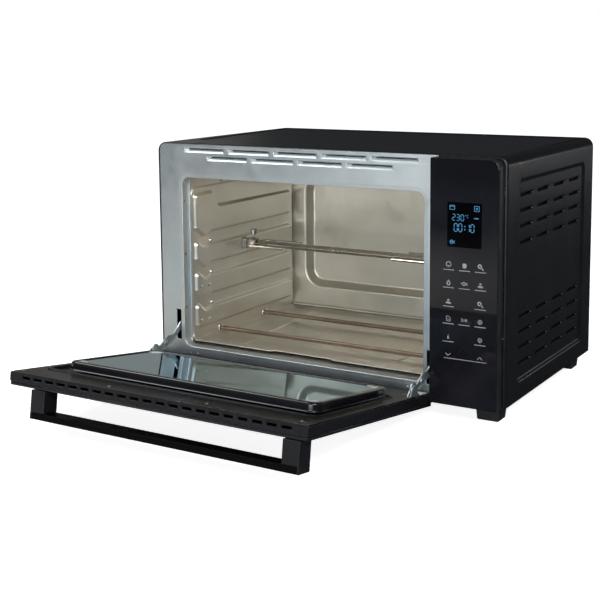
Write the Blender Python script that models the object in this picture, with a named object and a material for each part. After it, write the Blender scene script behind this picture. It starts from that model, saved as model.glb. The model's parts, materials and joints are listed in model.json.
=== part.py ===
"""Toaster oven with a drop-down door, a rotisserie spit and a touch panel, as separate named pieces.

Lengths are in metres. Every piece is drawn in the oven's own corner frame: x from the casing's left
face to the right, y from the front frame's face to the back, z up from the casing's underside. An
empty carries that frame to the origin, which lies under the middle of the whole object, door open.
"""
import math

import bmesh
import bpy
from mathutils import Matrix, Vector
from mathutils.geometry import tessellate_polygon

# Driving dimensions
CASING_W = 0.550
CASING_H = 0.3235
CASING_D = 0.339
FOOT_H = 0.0205
SHEET = 0.0012
GAP = 0.0003
CASING_ROUND = 0.013
RIM = 0.005

# Front frame and its openings
FRAME_X = (0.0053, 0.5445)
FRAME_Z = (0.0016, 0.3182)
FRAME_ROUND = 0.009
OPENING_X = (0.0432, 0.4343)
OPENING_Z = (0.0195, 0.2728)
OPENING_ROUND = 0.012
FLANGE_D = 0.014
LOUVRE_H = 0.0042
UPPER_LOUVRES = (0.0499, 0.4265, 5, 0.0687, 0.3134)
LOWER_LOUVRES = (0.0894, 0.3893, 4, 0.0686, 0.3022)
SLOT_LEFT_X = (0.0285, 0.0365)
SLOT_RIGHT_X = (0.4400, 0.4480)
SLOT_LEFT_Z = (0.0285, 0.0740)
RIGHT_HINGE_DROP = 0.011

# Cavity
LINER = 0.001
WALL_LEFT_X = 0.046
WALL_RIGHT_X = 0.433
WALL_Y = (0.0146, 0.3012)
WALL_Z = (0.0200, 0.2720)
BACK_Y = 0.302
BACK_BUMP = 0.014
PANEL_RISE = 0.006
PANEL_Y = (0.020, 0.292)
PANELS_Z = ((0.1830, 0.2290), (0.1355, 0.1695), (0.0875, 0.1235), (0.0405, 0.0745))
FLOOR_Z = 0.0186
TRAY_Z = 0.0199
TRAY_RIM_H = 0.006
HEATER_R = 0.00325
HEATERS = (("bottom_front", 0.0848, 0.0300), ("bottom_rear", 0.2085, 0.0300),
           ("top_front", 0.095, 0.264), ("top_rear", 0.215, 0.264))
HEATER_X = (0.020, 0.459)
SPIT_Y = 0.146
SPIT_Z = 0.156

# Control panel
PANEL_X = (0.4525, 0.5457)
PANEL_Z = (0.0003, 0.3203)
PANEL_FRONT_Y = -0.0195
PANEL_ROUND = 0.012
DISPLAY_X = (0.4767, 0.5236)
DISPLAY_Z = (0.2077, 0.2652)

# Door, drawn closed
DOOR_X = (0.0043, 0.4493)
DOOR_Z = (0.0, 0.320)
DOOR_INNER_Y = -0.002
DOOR_OUTER_Y = -0.0195
HINGE_Y = -0.006
HINGE_Z = 0.004
DOOR_OPEN_DEG = 81.8
WINDOW_X = (0.0448, 0.4240)
WINDOW_Z = (0.0790, 0.2590)
WINDOW_RISE = 0.013
LEDGE_RISE = 0.0014
HANDLE_POSTS_X = ((0.0460, 0.0670), (0.4200, 0.4432))
HANDLE_Z = (0.2997, 0.3242)
HANDLE_REACH = 0.037
HANDLE_BAR_T = 0.0085
VENT_COUNT = 21

# Hinge arms: the left pin on the closed door, and the arm's slope at rest
ARM_PIN_Y = 0.0068
ARM_PIN_Z = 0.0624
ARM_REST_DEG = 21.0
ARM_LENGTH = 0.091
ARM_PIN_R = 0.002

# Cord inlet on the rear cover
REAR_SHEET_Y = CASING_D - 0.0025
INLET_LENGTH = 0.0085
INLET_END_Y = REAR_SHEET_Y + SHEET + GAP + INLET_LENGTH

# Convection fan, on the right wall
FAN_Y = 0.232
FAN_Z = 0.185
FAN_R = 0.047


def clear_scene():
    for old in list(bpy.data.objects):
        bpy.data.objects.remove(old, do_unlink=True)


def make_material(name, colour, roughness, metallic=0.0):
    material = bpy.data.materials.new(name)
    material.use_nodes = True
    shader = material.node_tree.nodes["Principled BSDF"]
    shader.inputs["Base Color"].default_value = (*colour, 1.0)
    shader.inputs["Roughness"].default_value = roughness
    shader.inputs["Metallic"].default_value = metallic
    material.diffuse_color = (*colour, 1.0)
    return material


def make_empty(name, place, parent=None, tilt_x=0.0):
    empty = bpy.data.objects.new(name, None)
    empty.location = place
    empty.rotation_euler = (tilt_x, 0.0, 0.0)
    empty.parent = parent
    bpy.context.scene.collection.objects.link(empty)
    return empty


def add_object(name, bm, material, parent, origin=(0.0, 0.0, 0.0)):
    """Links a closed mesh drawn in its parent's frame; origin is moved to the piece's own point."""
    bmesh.ops.translate(bm, verts=bm.verts, vec=-Vector(origin))
    bmesh.ops.recalc_face_normals(bm, faces=bm.faces)
    mesh = bpy.data.meshes.new(name)
    bm.to_mesh(mesh)
    bm.free()
    obj = bpy.data.objects.new(name, mesh)
    obj.location = origin
    obj.parent = parent
    mesh.materials.append(material)
    mesh.shade_smooth()
    mesh.set_sharp_from_angle(angle=math.radians(30))
    bpy.context.scene.collection.objects.link(obj)
    return obj


def cut_with(obj, bm, operation="DIFFERENCE"):
    """Cuts, or joins, a helper mesh drawn in the same frame as obj."""
    helper = add_object(obj.name + "_cutter", bm, obj.data.materials[0], obj.parent)
    helper.hide_render = True
    helper.display_type = "WIRE"
    modifier = obj.modifiers.new(operation.title(), "BOOLEAN")
    modifier.operation = operation
    modifier.solver = "EXACT"
    modifier.object = helper
    return obj


# Outlines: lists of (a, b) points

def rounded(a, b, radius=0.0, steps=4, grow=0.0):
    """A rectangle with round corners over the spans a and b, anticlockwise."""
    a0, a1, b0, b1 = a[0] - grow, a[1] + grow, b[0] - grow, b[1] + grow
    if radius <= 0.0:
        return [(a0, b0), (a1, b0), (a1, b1), (a0, b1)]
    corners = ((a1 - radius, b0 + radius, -90), (a1 - radius, b1 - radius, 0),
               (a0 + radius, b1 - radius, 90), (a0 + radius, b0 + radius, 180))
    points = []
    for ca, cb, start in corners:
        for i in range(steps + 1):
            angle = math.radians(start + 90.0 * i / steps)
            points.append((ca + radius * math.cos(angle), cb + radius * math.sin(angle)))
    return points


def circle(a, b, radius, steps=16):
    return [(a + radius * math.cos(2 * math.pi * i / steps), b + radius * math.sin(2 * math.pi * i / steps))
            for i in range(steps)]


def place(point, level, axis):
    """Puts an outline point at a level along an axis: X takes (y, z), Y takes (x, z), Z takes (x, y)."""
    a, b = point
    if axis == "X":
        return Vector((level, a, b))
    if axis == "Y":
        return Vector((a, level, b))
    return Vector((a, b, level))


def ring_of(bm, outline, level, axis):
    return [bm.verts.new(place(p, level, axis)) for p in outline]


def bridge(bm, ring_a, ring_b):
    count = len(ring_a)
    for i in range(count):
        j = (i + 1) % count
        bm.faces.new((ring_a[i], ring_a[j], ring_b[j], ring_b[i]))


def fill(bm, outer, outline, holes, hole_outlines):
    """Triangles between an outer ring and the rings of its holes."""
    loops = [[Vector((p[0], p[1], 0.0)) for p in line] for line in [outline, *hole_outlines]]
    verts = list(outer)
    for hole in holes:
        verts += hole
    for tri in tessellate_polygon(loops):
        bm.faces.new([verts[i] for i in tri])


def loft(sections, axis, closed=False, bm=None):
    """A body through rings of equal point counts; sections are (outline, level). Closed makes a frame."""
    bm = bm or bmesh.new()
    rings = [ring_of(bm, outline, level, axis) for outline, level in sections]
    for one, other in zip(rings, rings[1:]):
        bridge(bm, one, other)
    if closed:
        bridge(bm, rings[-1], rings[0])
    else:
        bm.faces.new(rings[0])
        bm.faces.new(rings[-1])
    return bm


def prism(outline, span, axis, bm=None):
    return loft([(outline, span[0]), (outline, span[1])], axis, bm=bm)


def box(x, y, z, bm=None):
    return prism(rounded(x, y), z, "Z", bm=bm)


def frame_ring(outer, inner, span, axis):
    """A flat frame between two outlines of equal point counts."""
    return loft([(outer, span[0]), (outer, span[1]), (inner, span[1]), (inner, span[0])], axis, closed=True)


def cylinder(centre, radius, span, axis, steps=20, bm=None):
    return prism(circle(*centre, radius, steps), span, axis, bm=bm)


def turned(centre, profile, axis, steps=20, closed=False):
    """A turned body; profile is a list of (radius, level)."""
    return loft([(circle(*centre, r, steps), level) for r, level in profile], axis, closed=closed)


def sheet(outline, level, thickness, axis, features=(), bm=None):
    """A sheet of metal. Its face is at level and its back at level + thickness.

    A feature is (steps, end, inner): steps are (outline, rise) rings from the sheet's own plane on,
    end is "hole" or "cap", and inner are the features on its cap.
    """
    bm = bm or bmesh.new()
    front = ring_of(bm, outline, level, axis)
    back = ring_of(bm, outline, level + thickness, axis)
    bridge(bm, front, back)
    sheet_area(bm, outline, front, back, level, thickness, axis, features)
    return bm


def sheet_area(bm, outline, front, back, level, thickness, axis, features):
    starts = [steps[0][0] for steps, _, _ in features]
    front_rings = [ring_of(bm, start, level, axis) for start in starts]
    back_rings = [ring_of(bm, start, level + thickness, axis) for start in starts]
    fill(bm, front, outline, front_rings, starts)
    fill(bm, back, outline, back_rings, starts)
    for (steps, end, inner), face_ring, back_ring in zip(features, front_rings, back_rings):
        line, rise = steps[0]
        for line, rise in steps[1:]:
            next_face = ring_of(bm, line, level + rise, axis)
            next_back = ring_of(bm, line, level + rise + thickness, axis)
            bridge(bm, face_ring, next_face)
            bridge(bm, back_ring, next_back)
            face_ring, back_ring = next_face, next_back
        if end == "hole":
            bridge(bm, face_ring, back_ring)
        else:
            sheet_area(bm, line, face_ring, back_ring, level + rise, thickness, axis, inner)


def hole(outline):
    return ([(outline, 0.0)], "hole", ())


def boss(base, top, rise, inner=()):
    return ([(base, 0.0), (top, rise)], "cap", inner)


def spread(first, last, count, width):
    """The spans of equal pieces, the first starting at first and the last ending at last."""
    step = (last - first - width) / (count - 1)
    return [(first + i * step, first + i * step + width) for i in range(count)]


def swept(path, radius, steps=10, square=False, bm=None):
    """A rod along a list of points, round or square, with flat ends."""
    bm = bm or bmesh.new()
    points = [Vector(p) for p in path]
    rings = []
    side = None
    for i, point in enumerate(points):
        before = (point - points[max(i - 1, 0)]).normalized()
        after = (points[min(i + 1, len(points) - 1)] - point).normalized()
        along = (before + after).normalized()
        if side is None:
            side = along.orthogonal().normalized()
        side = (side - along * side.dot(along)).normalized()
        other = along.cross(side)
        stretch = 1.0 / max(along.dot(before if i else after), 0.5)
        count = 4 if square else steps
        ring = []
        for k in range(count):
            angle = 2 * math.pi * k / count + (math.pi / 4 if square else 0.0)
            offset = side * math.cos(angle) + other * math.sin(angle)
            ring.append(bm.verts.new(point + offset * radius * (stretch if 0 < i < len(points) - 1 else 1.0)))
        rings.append(ring)
    for one, two in zip(rings, rings[1:]):
        bridge(bm, one, two)
    bm.faces.new(rings[0])
    bm.faces.new(rings[-1])
    return bm


# Casing

def casing_profile(inset, foot):
    """The wrap's outline seen from the front: up the left side, over the top and down the right."""
    left, right, top = inset, CASING_W - inset, CASING_H - inset
    radius = CASING_ROUND - inset
    points = [(left, foot)]
    for centre, start in ((left + radius, 180.0), (right - radius, 90.0)):
        for i in range(6):
            angle = math.radians(start - 18.0 * i)
            points.append((centre + radius * math.cos(angle), top - radius + radius * math.sin(angle)))
    points.append((right, foot))
    return points


def casing_slots():
    """Cutters for the vent slots of both sides: four columns, four rows above and four below."""
    bm = bmesh.new()
    columns = spread(0.0513, 0.2872, 4, 0.0453)
    rows = [0.2675, 0.2470, 0.2270, 0.2050, 0.1080, 0.0880, 0.0674, 0.0470]
    for side in (-0.01, CASING_W - 0.01):
        for y in columns:
            for z in rows:
                slot = rounded(y, (z - 0.0027, z + 0.0027))
                prism(slot, (side, side + 0.02), "X", bm=bm)
    return bm


def build_casing(root, paint):
    outer = casing_profile(0.0, 0.0)
    inner = casing_profile(SHEET, 0.0)
    wrap = outer + inner[::-1]
    casing = add_object("outer_casing", prism(wrap, (0.0, CASING_D), "Y"), paint, root)
    rim = outer + casing_profile(RIM, 0.0)[::-1]
    cut_with(casing, prism(rim, (-0.0006, 0.0008), "Y"), "UNION")
    cut_with(casing, casing_slots())
    inside = (SHEET + GAP, CASING_W - SHEET - GAP)
    bump = ((0.06, 0.42), (0.05, 0.27))
    slots = [hole(rounded((x0, x1), (z, z + 0.006))) for z in (0.215, 0.235, 0.255)
             for x0, x1 in spread(0.445, 0.525, 2, 0.034)]
    dish = boss(rounded(*bump, 0.03), rounded(*bump, 0.02, grow=-0.012), 0.008)
    rear = sheet(rounded(inside, (SHEET + GAP, CASING_H - SHEET - GAP), 0.0130), REAR_SHEET_Y, SHEET, "Y",
                 [dish, *slots])
    add_object("rear_cover", rear, paint, root)
    vents = [hole(rounded((x0, x1), (y, y + 0.004))) for y in (0.10, 0.13, 0.20, 0.23)
             for x0, x1 in spread(0.10, 0.45, 5, 0.05)]
    base_y = (SHEET + GAP, CASING_D - 0.003)
    add_object("base_plate", sheet(rounded(inside, base_y), 0.0, SHEET, "Z", vents), paint, root)


def build_feet(root, rubber):
    top_x, top_y, slope = 0.034, 0.029, 0.002
    for side, x in (("left", 0.009), ("right", CASING_W - 0.009 - top_x)):
        for end, y in (("front", 0.0035), ("rear", 0.2925)):
            top = rounded((x, x + top_x), (y, y + top_y), 0.003, 2)
            foot = rounded((x, x + top_x), (y, y + top_y), 0.002, 2, grow=-slope)
            add_object(f"foot_{end}_{side}", loft([(foot, -FOOT_H), (top, -GAP)], "Z"), rubber, root)


# Front frame

def build_front_frame(root, steel):
    slots = [(x, (UPPER_LOUVRES[4] - LOUVRE_H / 2, UPPER_LOUVRES[4] + LOUVRE_H / 2))
             for x in spread(*UPPER_LOUVRES[:4])]
    slots += [(x, (LOWER_LOUVRES[4] - LOUVRE_H / 2, LOWER_LOUVRES[4] + LOUVRE_H / 2))
              for x in spread(*LOWER_LOUVRES[:4])]
    slots += [(SLOT_LEFT_X, SLOT_LEFT_Z), (SLOT_RIGHT_X, [z - RIGHT_HINGE_DROP for z in SLOT_LEFT_Z])]
    opening = rounded(OPENING_X, OPENING_Z, OPENING_ROUND)
    features = [hole(opening), *[hole(rounded(x, z)) for x, z in slots]]
    plate = rounded(FRAME_X, FRAME_Z, FRAME_ROUND)
    frame = add_object("front_frame", sheet(plate, 0.0, SHEET, "Y", features), steel, root)
    flange = rounded(OPENING_X, OPENING_Z, OPENING_ROUND + SHEET, grow=SHEET)
    cut_with(frame, frame_ring(flange, opening, (SHEET / 2, FLANGE_D), "Y"), "UNION")


def build_pivot_ears(root, steel):
    """The plates and pins that carry the door's bottom corners."""
    ears = (("left", (0.0014, 0.0030), (0.0026, 0.0110)), ("right", (0.4502, 0.4518), (0.4426, 0.4506)))
    for side, x, pin_x in ears:
        side_view = rounded((HINGE_Y - 0.006, -0.0009), (HINGE_Z - 0.0037, HINGE_Z + 0.008), 0.002, 3)
        ear = prism(side_view, x, "X")
        piece = add_object(f"pivot_ear_{side}", ear, steel, root)
        cut_with(piece, cylinder((HINGE_Y, HINGE_Z), 0.0019, pin_x, "X", 16), "UNION")


# Cavity

def wall_panel(z, inner=()):
    """A raised panel of a side wall, with its low front corner cut away for the rack's way in."""
    (y0, y1), (z0, z1) = PANEL_Y, z
    base = [(y0, z0 + 0.012), (y0 + 0.042, z0), (y1, z0), (y1, z1), (y0, z1)]
    k = 0.004
    top = [(y0 + k, z0 + 0.0145), (y0 + 0.043, z0 + k), (y1 - k, z0 + k), (y1 - k, z1 - k), (y0 + k, z1 - k)]
    return base, top, inner


def build_side_walls(root, steel):
    heater_holes = [hole(circle(y, z, HEATER_R + 0.0008, 12)) for _, y, z in HEATERS]
    fan_slots = [hole(rounded(y, (0.190, 0.221))) for y in spread(0.186, 0.278, 8, 0.005)]
    fan_low = [hole(rounded(y, (0.143, 0.163))) for y in spread(0.186, 0.278, 8, 0.005)]
    lamp = hole(circle(0.080, 0.204, 0.0155, 20))
    probe = hole(circle(0.125, 0.213, 0.0030, 10))
    drive = hole(circle(SPIT_Y, SPIT_Z, 0.0092, 16))
    extras = {"left": ((), (), (), ()), "right": ((*fan_slots, lamp, probe), (*fan_low, drive), (), ())}
    for side, x, rise, thick in (("left", WALL_LEFT_X, PANEL_RISE, -LINER),
                                 ("right", WALL_RIGHT_X, -PANEL_RISE, LINER)):
        panels = [wall_panel(z, inner) for z, inner in zip(PANELS_Z, extras[side])]
        features = heater_holes + [boss(base, top, rise, inner) for base, top, inner in panels]
        wall = sheet(rounded(WALL_Y, WALL_Z), x, thick, "X", features)
        add_object(f"liner_{side}", wall, steel, root)


def build_cavity(root, steel):
    build_side_walls(root, steel)
    across = (WALL_LEFT_X, WALL_RIGHT_X)
    bump_x = (WALL_LEFT_X + 0.014, WALL_RIGHT_X - 0.014)
    bump_z = (0.040, 0.250)
    dish = boss(rounded(bump_x, bump_z, 0.030), rounded(bump_x, bump_z, 0.018, grow=-0.012), BACK_BUMP)
    back = sheet(rounded(across, WALL_Z), BACK_Y, LINER, "Y", [dish])
    add_object("liner_back", back, steel, root)
    top_z = WALL_Z[1] + GAP
    ridge_span = ((0.10, 0.38), (0.08, 0.24))
    ridge = boss(rounded(*ridge_span, 0.02), rounded(*ridge_span, 0.015, grow=-0.006), 0.003)
    add_object("liner_top", sheet(rounded(across, WALL_Y), top_z, LINER, "Z", [ridge]), steel, root)
    add_object("liner_floor", sheet(rounded(across, WALL_Y), FLOOR_Z, LINER, "Z"), steel, root)
    blanket = rounded((0.050, 0.430), (0.020, 0.298), 0.01, 3)
    return prism(blanket, (top_z + 0.0055, top_z + 0.0175), "Z")


def build_tray(root, steel):
    """The crumb tray: a shallow pan with a finger notch in its front lip."""
    x, y = (WALL_LEFT_X + 0.0013, WALL_RIGHT_X - 0.0013), (0.0160, 0.2995)
    rim, floor = TRAY_Z + TRAY_RIM_H, TRAY_Z
    rings = [(0.0, rim), (-0.003, rim), (-0.012, floor + LINER)]
    under = [(-0.012, floor), (-0.0035, rim - LINER), (0.0, rim - LINER)]
    sections = [(rounded(x, y, 0.004, 3, grow=g), z) for g, z in reversed(rings)]
    sections += [(rounded(x, y, 0.004, 3, grow=g), z) for g, z in reversed(under)]
    tray = add_object("crumb_tray", loft(sections, "Z"), steel, root, origin=(0.2395, y[0], TRAY_Z))
    cut_with(tray, box((0.190, 0.286), (0.010, 0.0185), (rim - 0.0022, rim + 0.002)))


def build_heaters(root, rod):
    for name, y, z in HEATERS:
        x0, x1 = HEATER_X
        profile = [(0.0015, x0), (0.0015, x0 + 0.010), (HEATER_R, x0 + 0.010), (HEATER_R, x1 - 0.010),
                   (0.0015, x1 - 0.010), (0.0015, x1)]
        add_object(f"heater_{name}", turned((y, z), profile, "X", 14), rod, root)


# Rotisserie

def build_spit(root, chrome, steel):
    axis = make_empty("spit_axis", (0.0, SPIT_Y, SPIT_Z), root)
    rod = swept([(0.0552, 0, 0), (0.0640, 0, 0), (0.4295, 0, 0)], 0.0050, square=True)
    add_object("spit_rod", rod, chrome, axis)
    socket = turned((0, 0), [(0.0085, 0.4200), (0.0085, 0.4395), (0.0030, 0.4395), (0.0030, 0.4372),
                             (0.0056, 0.4372), (0.0056, 0.4200)], "X", 16, closed=True)
    add_object("drive_socket", socket, steel, axis)
    for side, x, way, turn in (("left", 0.072, 1, -math.pi / 2), ("right", 0.398, -1, math.pi / 2)):
        build_fork(side, x, way, turn, axis, chrome)


def build_fork(side, x, way, turn, axis, chrome):
    """A fork: a hub around the spit, two prongs, and the thumbscrew that clamps it."""
    place_at = make_empty(f"fork_{side}_place", (x, 0.0, 0.0), axis, turn)
    hub = turned((0, 0), [(0.0085, -0.006), (0.0085, 0.006), (0.0056, 0.006), (0.0056, -0.006)], "X", 16,
                 closed=True)
    fork = add_object(f"spit_fork_{side}", hub, chrome, place_at)
    for up in (1, -1):
        path = [(0.0, 0.0, 0.0070 * up), (0.0, 0.0, 0.020 * up), (way * 0.004, 0.0, 0.026 * up),
                (way * 0.010, 0.0, 0.029 * up), (way * 0.070, 0.0, 0.029 * up)]
        cut_with(fork, swept(path, 0.0019, 8), "UNION")
    screw = loft([(circle(0, 0, 0.0018, 12), -0.0088), (circle(0, 0, 0.0018, 12), -0.0150),
                  (circle(0, 0, 0.0058, 12), -0.0150), (circle(0, 0, 0.0058, 12), -0.0220)], "Y")
    add_object(f"fork_screw_{side}", screw, chrome, place_at, origin=(0.0, -0.0088, 0.0))


def build_spit_holders(root, steel, dark):
    half, slit, low, high = 0.012, 0.0062, 0.012, 0.010
    left_arm = [(-half, high), (-half, -low), (half, -low), (half, high)]
    notch = [(slit, high), (slit, -slit), (-slit, -slit), (-slit, high)]
    cradle = [(SPIT_Y + y, SPIT_Z + z) for y, z in left_arm + notch]
    face = WALL_LEFT_X + PANEL_RISE + GAP
    support = add_object("spit_support", prism(cradle, (face + 0.0026, face + 0.0095), "X"), steel, root)
    plate = rounded((SPIT_Y - 0.012, SPIT_Y + 0.012), (SPIT_Z - 0.0125, SPIT_Z + 0.0125), 0.003, 3)
    cut_with(support, prism(plate, (face, face + 0.0028), "X"), "UNION")
    motor = rounded((SPIT_Y - 0.025, SPIT_Y + 0.025), (SPIT_Z - 0.045, SPIT_Z + 0.020), 0.006, 3)
    add_object("rotisserie_motor", prism(motor, (0.4402, 0.4680), "X"), dark, root)


# Fan, lamp and probe on the right wall

def blade_wheel(x, radius, hub_r, width, count):
    """A stamped fan wheel: a disc with upright blades and a hub."""
    disc = cylinder((FAN_Y, FAN_Z), radius, (x, x + 0.0012), "X", 24)
    extras = []
    for i in range(count):
        angle = 2 * math.pi * i / count
        bm = box((x + 0.0006 - width, x + 0.0006), (hub_r, radius - 0.001), (-0.0006, 0.0006))
        turn = Matrix.Translation((0.0, FAN_Y, FAN_Z)) @ Matrix.Rotation(angle, 4, "X")
        bmesh.ops.transform(bm, matrix=turn, verts=bm.verts)
        extras.append(bm)
    extras.append(cylinder((FAN_Y, FAN_Z), hub_r + 0.0005, (x - 0.006, x + 0.0006), "X", 16))
    return disc, extras


def build_fan(root, alu, dark, steel):
    axis = make_empty("fan_axis", (0.0, FAN_Y, FAN_Z), root)
    centred = (0.0, FAN_Y, FAN_Z)
    for name, x, radius, hub_r, width in (("convection_fan", 0.4520, FAN_R, 0.006, 0.010),
                                          ("cooling_fan", 0.5140, 0.034, 0.006, 0.008)):
        disc, extras = blade_wheel(x, radius, hub_r, width, 8)
        fan = add_object(name, disc, alu, axis, origin=centred)
        fan.location = (0.0, 0.0, 0.0)
        for bm in extras:
            helper = cut_with(fan, bm, "UNION")
        for modifier in helper.modifiers:
            modifier.object.parent = root
    shaft = cylinder((0, 0), 0.0028, (0.4535, 0.5076), "X", 12)
    add_object("fan_shaft", shaft, steel, axis)
    inner_x = WALL_RIGHT_X + LINER + GAP
    can = [(FAN_R + 0.012, inner_x), (FAN_R + 0.012, inner_x + 0.001), (FAN_R + 0.004, inner_x + 0.001),
           (FAN_R + 0.004, inner_x + 0.026), (0.0045, inner_x + 0.026), (0.0045, inner_x + 0.025),
           (FAN_R + 0.003, inner_x + 0.025), (FAN_R + 0.003, inner_x)]
    add_object("fan_housing", turned((FAN_Y, FAN_Z), can, "X", 28, closed=True), steel, root)
    motor = [(0.024, 0.4640), (0.024, 0.5000), (0.0034, 0.5000), (0.0034, 0.4640)]
    add_object("fan_motor", turned((FAN_Y, FAN_Z), motor, "X", 20, closed=True), dark, root)


def build_lamp_and_probe(root, glass, ceramic, steel):
    y, z = 0.080, 0.204
    face = WALL_RIGHT_X - PANEL_RISE
    lens = turned((y, z), [(0.008, face - 0.0035), (0.013, face - 0.0015), (0.0150, face + 0.0005),
                           (0.0150, face + 0.0045)], "X", 20)
    add_object("lamp_lens", lens, glass, root)
    holder = turned((y, z), [(0.0140, face + 0.0050), (0.0140, face + 0.0220), (0.010, face + 0.0260),
                             (0.010, face + 0.0420)], "X", 20)
    add_object("lamp_holder", holder, ceramic, root)
    probe = turned((0.125, 0.213), [(0.0024, face - 0.028), (0.0024, face + 0.0075), (0.0045, face + 0.0075),
                                    (0.0045, face + 0.016)], "X", 12)
    add_object("temperature_probe", probe, steel, root)
    steps = [(0.0075, 0.4345), (0.0075, 0.4400), (0.0055, 0.4400), (0.0055, 0.4470)]
    cutoff = turned((0.060, 0.246), steps, "X", 14)
    add_object("thermal_cutoff", cutoff, ceramic, root)


# Control panel and electronics

def panel_outline(steps=5, grow=0.0):
    """The panel's face: only its top right corner is round."""
    x0, x1, z0, z1 = PANEL_X[0] - grow, PANEL_X[1] + grow, PANEL_Z[0] - grow, PANEL_Z[1] + grow
    radius = PANEL_ROUND + grow
    points = [(x0, z0), (x1, z0)]
    for i in range(steps + 1):
        angle = math.radians(90.0 * i / steps)
        points.append((x1 - radius + radius * math.cos(angle), z1 - radius + radius * math.sin(angle)))
    points.append((x0, z1))
    return points


def build_panel(root, plastic, glass, board, dark):
    glass_back = PANEL_FRONT_Y + 0.0020
    add_object("control_panel_glass", prism(panel_outline(), (PANEL_FRONT_Y, glass_back), "Y"), glass, root)
    outer, inner = panel_outline(), panel_outline(grow=-0.0022)
    front, back = glass_back + GAP, -0.0009
    shell = loft([(inner, front), (outer, front), (outer, back), (inner, back)], "Y", closed=True)
    housing = add_object("control_panel_housing", shell, plastic, root)
    display = (DISPLAY_X, DISPLAY_Z)
    window = hole(rounded(*display, grow=0.0006))
    web = sheet(panel_outline(grow=-0.0015), front + 0.0002, 0.0016, "Y", [window])
    cut_with(housing, web, "UNION")
    unit = prism(rounded(*display), (front, front + 0.0085), "Y")
    add_object("display_module", unit, dark, root)
    pads = prism(rounded((0.4600, 0.5380), (0.0450, 0.2000)), (front + 0.0024, front + 0.0040), "Y")
    add_object("touch_board", pads, board, root)
    power = prism(rounded((0.045, 0.180), (0.060, 0.230)), (0.5330, 0.5346), "X")
    add_object("power_board", power, board, root)
    core = prism(rounded((0.060, 0.105), (0.080, 0.130), 0.003, 2), (0.5000, 0.5326), "X")
    add_object("transformer", core, dark, root)


def build_inlet(root, rubber):
    y = INLET_END_Y - INLET_LENGTH
    profile = [(0.0100, y), (0.0100, y + 0.0025), (0.0070, y + 0.0035), (0.0055, INLET_END_Y)]
    gland = turned((0.500, 0.045), profile, "Y", 18)
    add_object("cord_inlet", gland, rubber, root)


# Door, drawn closed in a frame whose origin is the hinge axis

def at_hinge(y, z):
    return (y[0] - HINGE_Y, y[1] - HINGE_Y), (z[0] - HINGE_Z, z[1] - HINGE_Z)


def build_door_body(door, paint, glass):
    back = DOOR_INNER_Y - HINGE_Y
    front = DOOR_OUTER_Y - HINGE_Y
    _, (z0, z1) = at_hinge((0, 0), DOOR_Z)
    _, window_z = at_hinge((0, 0), WINDOW_Z)
    ledge = ((0.0185, 0.4315), (window_z[0] - 0.007, window_z[1] + 0.014))
    view = ((0.066, 0.405), (window_z[0] + 0.022, window_z[1] - 0.022))
    step = ([(rounded(*ledge, 0.010, 3), 0.0), (rounded(*ledge, 0.009, 3, grow=-0.002), LEDGE_RISE)], "cap",
            (hole(rounded(*view, 0.008, 3)),))
    plate = rounded((DOOR_X[0] + 0.001, DOOR_X[1] - 0.001), (z0 + 0.001, z1 - 0.0045))
    pan = sheet(plate, back - LINER, LINER, "Y", [step])
    add_object("door_inner_plate", pan, paint, door)
    glass_back = front + 0.004
    pane = prism(rounded(DOOR_X, (z0, z1), 0.003, 3), (front, glass_back), "Y")
    add_object("door_outer_glass", pane, glass, door)
    stile = 0.013
    x0, x1 = DOOR_X
    rail = [(x0, z0), (x1, z0), (x1, z1 - 0.0045), (x1 - stile, z1 - 0.0045), (x1 - stile, z0 + stile),
            (x0 + stile, z0 + stile), (x0 + stile, z1 - 0.0045), (x0, z1 - 0.0045)]
    frame = add_object("door_frame", prism(rail, (glass_back + GAP, back - LINER - GAP), "Y"), paint, door)
    bores = cylinder((0, 0), 0.0022, (x0 - 0.002, x0 + 0.0072), "X", 16)
    cylinder((0, 0), 0.0022, (x1 - 0.0072, x1 + 0.002), "X", 16, bm=bores)
    cut_with(frame, bores)
    build_vent_strip(door, paint, (glass_back + GAP, back), z1)


def build_vent_strip(door, paint, y, top):
    """The strip along the door's top edge, with its row of vent slots near the inner face."""
    slot_y = (y[1] - 0.0078, y[1] - 0.0026)
    slots = [hole(rounded(x, slot_y)) for x in spread(0.0280, 0.4250, VENT_COUNT, 0.0135)]
    strip = sheet(rounded(DOOR_X, y, 0.001, 1), top - 0.0040, 0.0040, "Z", slots)
    add_object("door_vent_strip", strip, paint, door)


def build_window(door, paint, glass):
    """The raised window on the door's inner side: a frame and its glass."""
    base = DOOR_INNER_Y - HINGE_Y + LEDGE_RISE + GAP
    top = DOOR_INNER_Y - HINGE_Y + WINDOW_RISE
    _, z = at_hinge((0, 0), WINDOW_Z)
    outer = rounded(WINDOW_X, z, 0.012, 4)
    crown = rounded(WINDOW_X, z, 0.011, 4, grow=-0.0015)
    lip = rounded(WINDOW_X, z, 0.008, 4, grow=-0.0075)
    seat = rounded(WINDOW_X, z, 0.006, 4, grow=-0.0105)
    well = rounded(WINDOW_X, z, 0.004, 4, grow=-0.0140)
    sections = [(outer, base), (outer, top - 0.0015), (crown, top), (lip, top), (lip, top - 0.0012),
                (seat, top - 0.0012), (seat, top - 0.0060), (well, top - 0.0060), (well, base)]
    add_object("window_frame", loft(sections, "Y", closed=True), paint, door)
    pane = prism(rounded(WINDOW_X, z, 0.005, 4, grow=-0.0108), (top - 0.0056, top - 0.0012), "Y")
    add_object("window_glass", pane, glass, door)


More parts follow.
